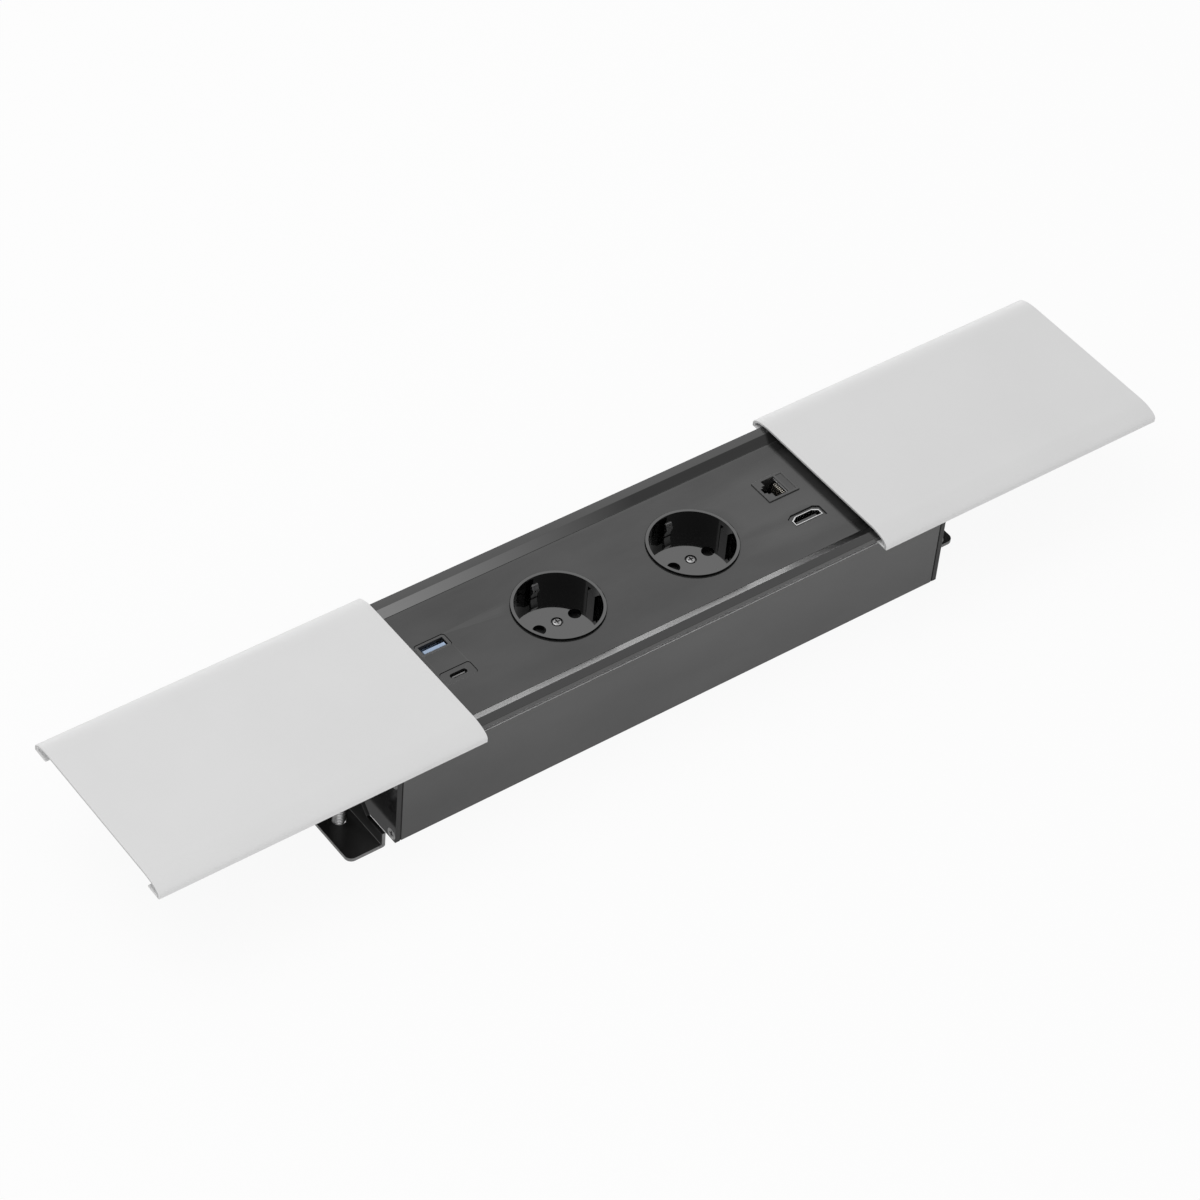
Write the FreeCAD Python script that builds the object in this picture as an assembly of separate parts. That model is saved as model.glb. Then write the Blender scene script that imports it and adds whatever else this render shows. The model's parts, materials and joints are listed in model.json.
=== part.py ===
# In-desk power module with two sliding covers, slid open.
# Millimetres. Origin at the middle of the housing's underside, +X along the
# housing, -Y towards the front, +Z up. Each sub-part is written to parts/.
import FreeCAD
import Part
import math
import os

V = FreeCAD.Vector

# Housing: an aluminium extrusion closed by an end plate and a seal at each end
body_length = 299.0
body_width = 85.6
body_wall = 2.0
floor_t = 2.0
rail_top_z = 48.2
rail_edge_h = 2.4
rail_flat_w = 4.6
bevel_w = 4.4
bevel_drop = 2.2
groove_bottom_z = 44.4
groove_depth = 3.2
groove_lip_w = 1.2
groove_lip_drop = 0.6
ledge_w = 5.4
ledge_t = 1.6
end_plate_t = 2.4
end_seal_t = 0.7
end_seal_inset = 0.2
port_inset = 3.1
port_rise = 31.6
port_r = 3.4
port_bore_r = 1.5

# Top panel, laid on the ledges between the rails
panel_t = 2.0
panel_gap = 0.15

# Desk that the module hangs in: its flanges rest on the desk's top
desk_flange_len = 10.0
desk_flange_t = 2.0
desk_flange_half_w = 38.0
desk_top_z = 43.5

# Sliding covers
cover_end_reach = 11.9
cover_side_reach = 6.2
cover_top_z = 51.0
cover_bottom_z = 44.6
cover_top_t = 1.4
cover_side_t = 1.8
cover_shoulder_w = 12.0
cover_shoulder_h = 4.4
cover_lip_t = 1.0
cover_lip_reach = 2.4
cover_meeting_gap = 0.4
glide_length = 34.0
glide_setback = 1.0
glide_width = 2.8
glide_inset = 0.2
glide_clear = 0.2
rail_pad_length = 5.8
rail_pad_t = 0.9
rail_pad_inset = 0.2
stop_clear = 0.2

# Fasteners
end_screw_head_r = 2.9
end_screw_head_h = 1.6
end_screw_length = 12.0
end_slot_length = 3.6
end_slot_w = 0.8
end_slot_depth = 1.1
end_slot_turn = 20.0
panel_screw_r = 1.5
panel_screw_head_r = 2.5
panel_screw_head_h = 1.5
panel_screw_length = 6.0
panel_screw_inset = 9.9
panel_slot_length = 3.0
panel_slot_w = 0.8
panel_slot_depth = 0.9

# Earthed sockets, two pins 19 mm apart
socket_pitch = 73.4
socket_opening_r = 19.7
socket_ring_r = 21.3
socket_ring_h = 1.0
socket_ring_edge_r = 0.2
socket_body_r = 20.7
socket_floor_z = 36.2
socket_floor_t = 2.2
socket_skirt_z = 15.0
socket_skirt_t = 1.3
socket_hole_clear = 0.15
pin_spacing = 19.0
pin_hole_r = 3.0
rib_w = 5.0
rib_h = 1.7
rib_drop = 3.0
rib_slot_w = 1.8
rib_slot_h = 8.0
latch_w = 3.0
latch_t = 0.5
latch_inset = 1.0
centre_screw_r = 1.5
centre_screw_head_r = 2.2
centre_screw_head_h = 1.6
centre_slot_length = 2.6
centre_slot_w = 0.7
centre_slot_depth = 1.1
centre_boss_r = 3.4
counterbore_r = 2.8
counterbore_depth = 1.2
code_hole_r = 1.9
code_hole_x = 1.2
code_hole_y = 13.6

# Shutter disc under each socket floor
shutter_t = 1.8
shutter_r = 4.2
shutter_hub_r = 5.6
shutter_ramp_h = 1.2
shutter_clear = 0.3

# Contacts, earth strap, insulating core
core_r = 18.9
strap_t = 0.9
strap_w = 3.4
strap_arm_y = 18.3
strap_top_z = 44.2
strap_bulge = 1.4
strap_bulge_h = 6.0
strap_clear = 0.3
tulip_r = 2.9
tulip_bore_r = 2.35
tulip_slit_w = 1.0
tulip_top_z = 29.2
tulip_bottom_z = 17.0
core_bore_clear = 0.3
busbar_t = 1.0
busbar_w = 5.0
busbar_y = 9.5
earthbar_w = 6.0
earthbar_z = 8.5
tab_w = 6.0
post_l = 6.0
post_foot = 4.0
post_foot_t = 2.0

# Charging ports on the left
charger_end_gap = 21.8
charger_socket_gap = 10.7
usb_a_y = 9.45
usb_c_y = -10.0
bezel_len = 15.7
bezel_w = 7.4
bezel_r = 1.4
bezel_recess = 0.3
bezel_t = 2.4
bezel_clear = 0.12
usb_a_open_x = 12.6
usb_a_open_y = 4.9
usb_a_shell_t = 0.35
usb_a_tongue_x = 11.2
usb_a_tongue_y = 1.9
usb_c_open_x = 8.6
usb_c_open_y = 2.7
usb_c_shell_t = 0.3
usb_c_tongue_x = 6.6
usb_c_tongue_y = 0.7
usb_recess = 0.5
usb_a_tongue_gap = 0.45
usb_c_tongue_drop = 0.4
tongue_base_h = 2.0
board_z = 30.0
board_t = 1.6
board_x = 34.0
board_y = 40.0
charger_y = 44.0
charger_h = 20.0
charger_pad_t = 1.0
charger_pad_inset = 4.0
charger_corner_r = 2.0
charger_post_r = 2.4
post_inset = 4.0
board_screw_r = 2.3
board_screw_h = 1.2

# Network jack and video port on the right
jack_from_socket = 54.0
jack_y = 9.4
jack_plate_x = 17.0
jack_plate_y = 13.9
jack_plate_h = 0.6
jack_body_x = 15.2
jack_body_y = 12.9
jack_bottom_z = 17.0
jack_open_x0 = -4.1
jack_open_x1 = 3.0
jack_open_y = 11.4
jack_step1_y = 5.6
jack_step1_x = -5.8
jack_step2_y = 3.3
jack_step2_x = -7.2
jack_web_z = 30.0
jack_web_t = 2.4
label_x0 = 4.2
label_x1 = 7.4
label_y = 11.4
label_depth = 0.25
wire_count = 8
wire_pitch = 1.02
wire_w = 0.46
wire_t = 0.35
wire_top_drop = 2.5
wire_lean = 2.2
wire_knee_h = 4.2
wire_knee_t = 0.5
wire_hook_h = 1.2
wire_gap = 0.25
shield_t = 0.3
shield_drop = 0.9
video_from_socket = 54.45
video_y = -13.0
video_shell_x = 15.1
video_shell_y = 5.0
video_shell_t = 0.45
video_chamfer_x = 2.7
video_chamfer_y = 1.7
video_rim = 1.3
video_recess = 0.7
video_tongue_x = 11.2
video_tongue_y = 1.3
video_tongue_shift = 0.3
video_tongue_drop = 1.8
video_shell_floor_t = 0.6
video_block_x = 19.0
video_block_y = 9.0
video_bottom_z = 22.0
video_web_z = 32.0
feed_window_x = 20.0
feed_window_y0 = -18.25
feed_window_y1 = 17.4
port_clear = 0.12

# Mains inlet in the right end plate
inlet_w = 20.0
inlet_h = 15.0
inlet_side_gap = 1.8
inlet_z = 22.0
inlet_depth = 19.0
inlet_flange_w = 30.0
inlet_flange_h = 19.0
inlet_flange_t = 1.6
inlet_wall = 1.8
inlet_back_t = 3.0
inlet_corner_r = 2.0
inlet_pin_r = 1.5
inlet_pin_spacing = 5.5
inlet_pin_length = 14.0
inlet_pin_tail = 2.0
riser_half_w = 2.0
first_turn_gap = 4.6
turn_step = 3.5
inlet_screw_r = 1.4
inlet_screw_head_r = 2.5
inlet_screw_head_h = 1.4
inlet_screw_y = 12.4
inlet_clear = 0.2

# Clamp brackets under the ends, each the other turned half round
bracket_t = 1.8
bracket_gap = 4.5
bracket_reach = 18.5
bracket_length = 70.0
bracket_inlet_gap = 1.0
bracket_lip_h = 8.6
bracket_corner_r = 3.4
bracket_bend_r = 1.2
bracket_tab_w = 34.0
bracket_tab_h = 36.0
bracket_shoulder = 6.0
bracket_screw_span = 26.0
bracket_screw_z = 31.5
bracket_screw_r = 2.0
bracket_screw_head_r = 3.8
bracket_screw_head_h = 2.2
bracket_key_r = 1.4
bracket_key_depth = 1.4
bracket_spacer_r = 4.0
clamp_screw_r = 3.0
clamp_screw_span = 26.2
clamp_screw_x = 9.1
clamp_screw_length = 20.0
clamp_pad_r = 6.0
clamp_pad_t = 3.0
clamp_pad_overlap = 1.5
clamp_screw_foot = 0.3
thread_clear = 0.1

# Values that follow from the sizes above
half_w = body_width / 2
half_l = body_length / 2
rail_in_y = half_w - rail_flat_w
panel_y = rail_in_y - bevel_w
panel_top_z = rail_top_z - bevel_drop
panel_under_z = panel_top_z - panel_t
groove_top_z = rail_top_z - rail_edge_h
cavity_y = half_w - body_wall
shelf_z = panel_under_z - ledge_t
plate_in_x = half_l - end_plate_t
profile_half = plate_in_x - end_seal_t
socket_xs = (-socket_pitch / 2, socket_pitch / 2)
ring_top_z = panel_top_z + socket_ring_h
floor_under_z = socket_floor_z - socket_floor_t
shutter_top_z = floor_under_z - shutter_clear
shutter_under_z = shutter_top_z - shutter_t
strap_z = shutter_under_z - shutter_clear - strap_t
core_top_z = strap_z
livebar_z = socket_skirt_z - busbar_t
cover_width = 2 * (half_w + cover_side_reach)
cover_length = half_l + cover_end_reach - cover_meeting_gap / 2
cover_lip_tip_y = half_w - cover_lip_reach
rail_pad_x = half_l - rail_pad_inset - rail_pad_length
glide_x = rail_pad_x - stop_clear - glide_length
cover_inner_x = glide_x - glide_setback
glide_y = rail_in_y + glide_inset + glide_width / 2
bracket_x = half_l + bracket_gap
socket_reach_x = socket_xs[1] + socket_body_r
charger_x0 = -profile_half + charger_end_gap
charger_x1 = -socket_reach_x - charger_socket_gap
charge_x = (charger_x0 + charger_x1) / 2
jack_x = socket_xs[1] + jack_from_socket
video_x = socket_xs[1] + video_from_socket
first_turn_x = socket_reach_x + first_turn_gap
inlet_y = inlet_side_gap + inlet_flange_w / 2 - half_w
charger_top_z = floor_t + charger_pad_t + charger_h
bracket_low_screw_y = inlet_y + inlet_flange_w / 2 + bracket_inlet_gap + bracket_spacer_r
bracket_mid_y = bracket_low_screw_y + bracket_screw_span / 2


# Solid makers
def box(x0, x1, y0, y1, z0, z1):
    return Part.makeBox(x1 - x0, y1 - y0, z1 - z0, V(x0, y0, z0))


def block(cx, cy, lx, ly, z0, z1):
    return box(cx - lx / 2, cx + lx / 2, cy - ly / 2, cy + ly / 2, z0, z1)


def rod(r, z0, z1, x=0.0, y=0.0):
    return Part.makeCylinder(r, z1 - z0, V(x, y, z0))


def rod_x(r, x0, x1, y, z):
    return Part.makeCylinder(r, x1 - x0, V(x0, y, z), V(1, 0, 0))


def face(points):
    return Part.Face(Part.makePolygon(list(points) + [points[0]]))


def along_x(yz, x0, x1):
    return face([V(x0, y, z) for y, z in yz]).extrude(V(x1 - x0, 0, 0))


def along_z(xy, z0, z1):
    return face([V(x, y, z0) for x, y in xy]).extrude(V(0, 0, z1 - z0))


def slab(cx, cy, lx, ly, r, z0, z1):
    solid = block(cx, cy, lx, ly, z0, z1)
    upright = [e for e in solid.Edges if abs(e.BoundBox.ZLength - (z1 - z0)) < 1e-6]
    return solid.makeFillet(min(r, 0.49 * min(lx, ly)), upright)


def fuse(first, *others):
    return first.fuse(list(others)).removeSplitter()


def cut(solid, *tools):
    return solid.cut(list(tools))


def cross(x, y, length, width, z0, z1):
    return [block(x, y, length, width, z0, z1), block(x, y, width, length, z0, z1)]


def turned(solid):
    copy = solid.copy()
    copy.rotate(V(0, 0, 0), V(0, 0, 1), 180)
    return copy


def mirrored_y(yz):
    return yz + [(-y, z) for y, z in reversed(yz)]


def save(name, shape):
    if isinstance(shape, (list, tuple)):
        shape = Part.makeCompound(list(shape))
    shape.exportStep("parts/" + name + ".step")


# Housing section, end plates, seals
def rail_outline(inset=0.0):
    # one side of the section, from the floor to the panel's edge
    y0 = half_w - inset
    groove_y = y0 - groove_depth
    lip_z = groove_bottom_z - inset
    return [(y0, inset), (y0, lip_z), (y0 - groove_lip_w, lip_z - groove_lip_drop),
            (groove_y, lip_z - groove_lip_drop), (groove_y, groove_top_z + inset),
            (y0, groove_top_z + inset), (y0, rail_top_z - inset), (rail_in_y, rail_top_z - inset),
            (panel_y, panel_top_z - inset)]


def cavity_outline():
    return mirrored_y([(cavity_y, floor_t), (cavity_y, shelf_z)])


def screw_port_places():
    return [(s * (half_w - port_inset), port_inset + rise) for s in (-1, 1) for rise in (0.0, port_rise)]


def housing_profile():
    outer = mirrored_y(rail_outline() + [(panel_y, panel_under_z), (panel_y - ledge_w, panel_under_z),
                                         (panel_y - ledge_w, shelf_z)])
    x0, x1 = -profile_half, profile_half
    solid = cut(along_x(outer, x0, x1), along_x(cavity_outline(), x0, x1))
    ports = [rod_x(port_r, x0, x1, y, z) for y, z in screw_port_places()]
    solid = fuse(solid, *ports).common(along_x(outer, x0, x1))
    solid = cut(solid, *[rod_x(port_bore_r, x0, x1, y, z) for y, z in screw_port_places()])
    solid = cut(solid, box(jack_x - feed_window_x / 2, jack_x + feed_window_x / 2,
                           feed_window_y0, feed_window_y1, -1, floor_t + 1))
    return cut(solid, *[rod(panel_screw_r, shelf_z - 1, panel_under_z + 1, x, y)
                        for x, y in panel_screw_places()])


def end_plate(side):
    x0 = plate_in_x
    x1 = half_l
    solid = along_x(mirrored_y(rail_outline()), x0, x1)
    flange = box(x0, x1 + desk_flange_len, -desk_flange_half_w, desk_flange_half_w,
                 desk_top_z, desk_top_z + desk_flange_t)
    solid = fuse(solid, flange)
    for y, z in screw_port_places():
        sink = Part.makeCone(port_bore_r + thread_clear, end_screw_head_r, end_screw_head_h,
                             V(x1 - end_screw_head_h, y, z), V(1, 0, 0))
        solid = cut(solid, rod_x(port_bore_r + thread_clear, x0 - 1, x1 + 1, y, z), sink)
    for y in bracket_screw_ys(side):
        solid = cut(solid, rod_x(bracket_screw_r, x0 - 1, x1 + 1, y, bracket_screw_z))
    if side > 0:
        half = inlet_w / 2 + inlet_clear
        rise = inlet_h / 2 + inlet_clear
        solid = cut(solid, box(x0 - 1, x1 + 1, inlet_y - half, inlet_y + half,
                               inlet_z - rise, inlet_z + rise))
        solid = cut(solid, *[rod_x(inlet_screw_r, x0 - 1, x1 + 1, y, inlet_z) for y in inlet_screw_ys()])
        return solid
    return solid.mirror(V(0, 0, 0), V(1, 0, 0))


def end_seal(side):
    x0, x1 = profile_half, plate_in_x
    outer = along_x(mirrored_y(rail_outline(end_seal_inset)), x0, x1)
    solid = cut(outer, along_x(cavity_outline(), x0 - 1, x1 + 1))
    solid = fuse(solid, *[rod_x(port_r, x0, x1, y, z) for y, z in screw_port_places()]).common(outer)
    solid = cut(solid, *[rod_x(port_bore_r + thread_clear, x0 - 1, x1 + 1, y, z)
                         for y, z in screw_port_places()])
    return solid if side > 0 else solid.mirror(V(0, 0, 0), V(1, 0, 0))


def end_screws(side):
    x1 = half_l
    screws = []
    for y, z in screw_port_places():
        head = Part.makeCone(port_bore_r, end_screw_head_r, end_screw_head_h,
                             V(x1 - end_screw_head_h, y, z), V(1, 0, 0))
        screw = fuse(head, rod_x(port_bore_r, x1 - end_screw_length, x1 - end_screw_head_h, y, z))
        for deg in (0, 90):
            bar = box(x1 - end_slot_depth, x1 + 1, y - end_slot_w / 2, y + end_slot_w / 2,
                      z - end_slot_length / 2, z + end_slot_length / 2)
            bar.rotate(V(x1, y, z), V(1, 0, 0), deg + end_slot_turn)
            screw = cut(screw, bar)
        screws.append(screw if side > 0 else screw.mirror(V(0, 0, 0), V(1, 0, 0)))
    return screws


# Top panel with its windows
def panel_screw_places():
    y = panel_y - ledge_w / 2
    x = profile_half - panel_screw_inset
    return [(sx * x, sy * y) for sx in (-1, 1) for sy in (-1, 1)]


def socket_panel():
    x1 = profile_half - panel_gap
    y1 = panel_y - panel_gap
    solid = box(-x1, x1, -y1, y1, panel_under_z, panel_top_z)
    low, high = panel_under_z - 1, panel_top_z + 1
    holes = [rod(socket_body_r + socket_hole_clear, low, high, x, 0) for x in socket_xs]
    for y in (usb_a_y, usb_c_y):
        holes.append(slab(charge_x, y, bezel_len + 2 * bezel_clear, bezel_w + 2 * bezel_clear,
                          bezel_r, low, high))
    holes.append(block(jack_x, jack_y, jack_body_x + 2 * port_clear, jack_body_y + 2 * port_clear,
                       low, high))
    holes.append(along_z(video_outline(video_rim + port_clear), low, high))
    holes += [rod(panel_screw_r, low, high, x, y) for x, y in panel_screw_places()]
    return cut(solid, *holes)


def panel_screws():
    out = []
    for x, y in panel_screw_places():
        shank = rod(panel_screw_r, panel_top_z - panel_screw_length, panel_top_z, x, y)
        head = rod(panel_screw_head_r, panel_top_z, panel_top_z + panel_screw_head_h, x, y)
        z1 = panel_top_z + panel_screw_head_h
        out.append(cut(fuse(shank, head), *cross(x, y, panel_slot_length, panel_slot_w,
                                                 z1 - panel_slot_depth, z1 + 1)))
    return out


# Sliding covers, their glides and the pads that stop them
def cover_section():
    cw = cover_width / 2
    knee_z = cover_top_z - cover_shoulder_h
    centre = V(0, cw - cover_shoulder_w, knee_z)

    def quarter(a, b, flip):
        major, minor = (a, b) if a >= b else (b, a)
        ellipse = Part.Ellipse(V(0, 0, 0), major, minor)
        edge = ellipse.toShape(0, math.pi / 2)
        matrix = FreeCAD.Matrix(0, 0, 1, 0, 1, 0, 0, 0, 0, 1, 0, 0, 0, 0, 0, 1)
        edge = edge.transformGeometry(matrix)
        edge.translate(centre)
        return edge.mirror(V(0, 0, 0), V(0, 1, 0)) if flip else edge

    def line(a, b):
        return Part.LineSegment(V(0, a[0], a[1]), V(0, b[0], b[1])).toShape()

    inner_w = cover_shoulder_w - cover_side_t
    inner_h = cover_shoulder_h - cover_top_t
    flat_y = cw - cover_shoulder_w
    under_z = cover_top_z - cover_top_t
    wall_y = cw - cover_side_t
    lip_z = cover_bottom_z + cover_lip_t
    edges = [line((-flat_y, cover_top_z), (flat_y, cover_top_z)),
             line((-flat_y, under_z), (flat_y, under_z))]
    for s in (1, -1):
        edges.append(quarter(cover_shoulder_w, cover_shoulder_h, s < 0))
        edges.append(quarter(inner_w, inner_h, s < 0))
        path = [(cw, knee_z), (cw, cover_bottom_z), (cover_lip_tip_y, cover_bottom_z),
                (cover_lip_tip_y, lip_z), (wall_y, lip_z), (wall_y, knee_z)]
        edges += [line((s * a[0], a[1]), (s * b[0], b[1])) for a, b in zip(path, path[1:])]
    return Part.Face(Part.Wire(Part.__sortEdges__(edges)))


def cover_right():
    section = cover_section()
    section.translate(V(cover_inner_x, 0, 0))
    solid = section.extrude(V(cover_length, 0, 0))
    corner = [e for e in solid.Edges
              if e.BoundBox.XLength > cover_length - 1
              and abs(abs(e.CenterOfMass.y) - cover_width / 2) < 0.01
              and abs(e.CenterOfMass.z - cover_bottom_z) < 0.01]
    return solid.makeFillet(0.45 * cover_lip_t, corner)


def cover_hollow(x0, x1):
    # the room under the cover's top, as far down as the rails
    inner_w = cover_shoulder_w - cover_side_t
    inner_h = cover_shoulder_h - cover_top_t
    flat_y = cover_width / 2 - cover_shoulder_w
    knee_z = cover_top_z - cover_shoulder_h
    steps = 24
    arc = [(flat_y + inner_w * math.cos(math.pi / 2 * i / steps),
            knee_z + inner_h * math.sin(math.pi / 2 * i / steps)) for i in range(steps + 1)]
    return along_x(mirrored_y(arc), x0, x1)


def glides_right():
    x1 = glide_x + glide_length
    hollow = cover_hollow(glide_x, x1)
    z0, z1 = rail_top_z + glide_clear, cover_top_z - cover_top_t
    return [box(glide_x, x1, s * glide_y - glide_width / 2, s * glide_y + glide_width / 2,
                z0, z1).common(hollow) for s in (-1, 1)]


def rail_pads(side):
    x = side * (rail_pad_x + rail_pad_length / 2)
    return [block(x, s * glide_y, rail_pad_length, glide_width, rail_top_z, rail_top_z + rail_pad_t)
            for s in (-1, 1)]


# Sockets
def strap_slot(x, sign):
    y0 = strap_arm_y - strap_t - strap_clear
    y1 = strap_arm_y + strap_clear
    w = strap_w + 2 * strap_clear
    return block(x, sign * (y0 + y1) / 2, w, y1 - y0, socket_skirt_z - 1, socket_floor_z + 1)


def socket_insert(x):
    # the rim with the cup's wall, pressed on the floor with its skirt
    ring = cut(rod(socket_ring_r, panel_top_z, ring_top_z, x),
               rod(socket_opening_r, panel_top_z, ring_top_z, x))
    rim_edges = [e for e in ring.Edges if abs(e.CenterOfMass.z - ring_top_z) < 1e-6
                 and e.BoundBox.XLength > 2 * socket_opening_r + 1]
    ring = ring.makeFillet(socket_ring_edge_r, rim_edges)
    wall = fuse(ring, cut(rod(socket_body_r, socket_floor_z, panel_top_z, x),
                          rod(socket_opening_r, socket_floor_z, panel_top_z, x)))
    base = cut(rod(socket_body_r, socket_skirt_z, socket_floor_z, x),
               rod(socket_body_r - socket_skirt_t, socket_skirt_z, floor_under_z, x))
    rib_top = ring_top_z - rib_drop
    for s in (-1, 1):
        reach = socket_opening_r + socket_skirt_t / 2
        rib = block(x + s * (reach - rib_h / 2), 0, rib_h + socket_skirt_t, rib_w,
                    socket_floor_z, rib_top)
        wall = fuse(wall, rib.common(rod(socket_body_r, socket_floor_z, ring_top_z, x)))
        for t in (-1, 1):
            slot_y = t * (rib_w + rib_slot_w) / 2
            window = block(x + s * socket_body_r, slot_y, 4 * rib_h, rib_slot_w,
                           socket_floor_z, socket_floor_z + rib_slot_h)
            wall = cut(wall, window)
    boss = rod(centre_boss_r, strap_z + strap_t, floor_under_z, x)
    base = fuse(base, boss)
    base = cut(base, rod(centre_screw_r, strap_z, socket_floor_z + 1, x),
                rod(counterbore_r, socket_floor_z - counterbore_depth, socket_floor_z + 1, x),
                rod(code_hole_r, floor_under_z - 1, socket_floor_z + 1, x + code_hole_x, -code_hole_y))
    for s in (-1, 1):
        pin_x = x + s * pin_spacing / 2
        base = cut(base, rod(pin_hole_r, floor_under_z - 1, socket_floor_z + 1, pin_x),
                   strap_slot(x, s))
    return [wall, base]


def socket_latches(x):
    out = []
    y = (rib_w + rib_slot_w) / 2
    z0, z1 = socket_floor_z - latch_inset, socket_floor_z + rib_slot_h - latch_inset
    for s in (-1, 1):
        for t in (-1, 1):
            out.append(block(x + s * (socket_body_r + latch_t / 2), t * y, latch_t, latch_w, z0, z1))
    return out


def socket_core(x):
    solid = cut(rod(core_r, socket_skirt_z, core_top_z, x),
                rod(centre_screw_r, socket_skirt_z - 1, core_top_z + 1, x))
    bore = tulip_r + core_bore_clear
    for s in (-1, 1):
        solid = cut(solid, rod(bore, socket_skirt_z - 1, core_top_z + 1, x + s * pin_spacing / 2))
    return solid


def earth_strap(x):
    z1 = strap_z + strap_t
    base = block(x, 0, strap_w, 2 * strap_arm_y, strap_z, z1)
    solid = cut(fuse(base, rod(centre_boss_r, strap_z, z1, x)), rod(centre_screw_r, strap_z - 1, z1 + 1, x))
    low = strap_top_z - strap_bulge_h
    for s in (-1, 1):
        outer, inner = strap_arm_y, strap_arm_y - strap_t
        outline = [(outer, strap_z), (outer, strap_top_z), (inner, strap_top_z),
                   (inner - strap_bulge, (strap_top_z + low) / 2), (inner, low), (inner, strap_z)]
        arm = along_x([(s * y, z) for y, z in outline], x - strap_w / 2, x + strap_w / 2)
        solid = fuse(solid, arm)
    return solid


def shutter(x):
    z0, z1 = shutter_under_z, shutter_top_z
    half = pin_spacing / 2
    solid = rod(shutter_hub_r, z0, z1, x)
    solid = fuse(solid, block(x, 0, pin_spacing, 1.6 * shutter_r, z0, z1),
                 rod(shutter_r, z0, z1, x - half), rod(shutter_r, z0, z1, x + half))
    for s in (-1, 1):
        ramp = along_x([(-shutter_r, z1), (shutter_r, z1), (shutter_r, z1 - shutter_ramp_h)],
                       x + s * half - pin_hole_r, x + s * half + pin_hole_r)
        if s < 0:
            ramp = ramp.mirror(V(0, 0, 0), V(0, 1, 0))
        solid = cut(solid, ramp)
    return cut(solid, rod(centre_boss_r + shutter_clear, z0 - 1, z1 + 1, x))


def centre_screw(x):
    z_head = socket_floor_z - counterbore_depth
    solid = fuse(rod(centre_screw_r, earthbar_z, z_head, x),
                 rod(centre_screw_head_r, z_head, z_head + centre_screw_head_h, x))
    z1 = z_head + centre_screw_head_h
    return cut(solid, *cross(x, 0, centre_slot_length, centre_slot_w, z1 - centre_slot_depth, z1 + 1))


def busbar(sign):
    z0, z1 = livebar_z, livebar_z + busbar_t
    y_bar = sign * busbar_y
    turn_x = first_turn_x + (turn_step * 2 if sign > 0 else 0)
    y_pin = inlet_pin_ys()[2 if sign > 0 else 0]
    solid = box(charger_x1, turn_x, y_bar - busbar_w / 2, y_bar + busbar_w / 2, z0, z1)
    for x in socket_xs:
        px = x + sign * pin_spacing / 2
        tab = box(px - tab_w / 2, px + tab_w / 2, min(0, y_bar), max(0, y_bar), z0, z1)
        tulip = cut(rod(tulip_r, z1, tulip_top_z, px), rod(tulip_bore_r, tulip_bottom_z, tulip_top_z + 1, px),
                    block(px, 0, tulip_slit_w, 4 * tulip_r, tulip_bottom_z, tulip_top_z + 1))
        solid = fuse(solid, rod(tab_w / 2, z0, z1, px), tab, tulip)
    return fuse(solid, bar_tail(y_bar, y_pin, z0, turn_x))


def earth_busbar():
    turn_x = first_turn_x + turn_step
    solid = box(socket_xs[0] - earthbar_w, turn_x, -earthbar_w / 2, earthbar_w / 2,
                earthbar_z, earthbar_z + busbar_t)
    solid = fuse(solid, bar_tail(0.0, inlet_y, earthbar_z, turn_x))
    return cut(solid, *[rod(centre_screw_r, earthbar_z - 1, earthbar_z + 3, x) for x in socket_xs])


def busbar_posts():
    # one post under the earth bar between the sockets, two under the other bars' ends
    middle = block(0, 0, post_l, 2 * busbar_y + busbar_w + post_foot, floor_t, earthbar_z)
    end_x = charger_x1 + post_l
    ends = [fuse(block(end_x, s * busbar_y, post_l, busbar_w, floor_t, livebar_z),
                 block(end_x, s * busbar_y, post_l, busbar_w + post_foot, floor_t, floor_t + post_foot_t))
            for s in (-1, 1)]
    return [middle] + ends


# Charging module, board and ports
def charger_pad():
    x0, x1 = charger_x0 + charger_pad_inset, charger_x1 - charger_pad_inset
    y = charger_y / 2 - charger_pad_inset
    return box(x0, x1, -y, y, floor_t, floor_t + charger_pad_t)


def charger_module():
    z0 = floor_t + charger_pad_t
    solid = slab(charge_x, 0, charger_x1 - charger_x0, charger_y, charger_corner_r, z0, charger_top_z)
    posts = [rod(charger_post_r, charger_top_z, board_z, x, y) for x, y in board_post_places()]
    return fuse(solid, *posts)


def board_post_places():
    dx = board_x / 2 - post_inset
    dy = board_y / 2 - post_inset
    return [(charge_x + sx * dx, sy * dy) for sx in (-1, 1) for sy in (-1, 1)]


def board_screws():
    z = board_z + board_t
    return [rod(board_screw_r, z, z + board_screw_h, x, y) for x, y in board_post_places()]


def usb_a_bezel():
    z1 = panel_top_z - bezel_recess
    solid = slab(charge_x, usb_a_y, bezel_len, bezel_w, bezel_r, z1 - bezel_t, z1)
    return cut(solid, block(charge_x, usb_a_y, usb_a_open_x, usb_a_open_y, z1 - bezel_t - 1, z1 + 1))


def usb_a_shell():
    z0, z1 = board_z + board_t, panel_top_z - bezel_recess - bezel_t
    lx, ly = usb_a_open_x + 2 * usb_a_shell_t, usb_a_open_y + 2 * usb_a_shell_t
    solid = block(charge_x, usb_a_y, lx, ly, z0, z1)
    return cut(solid, block(charge_x, usb_a_y, usb_a_open_x, usb_a_open_y, z0 - 1, z1 + 1))


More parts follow.
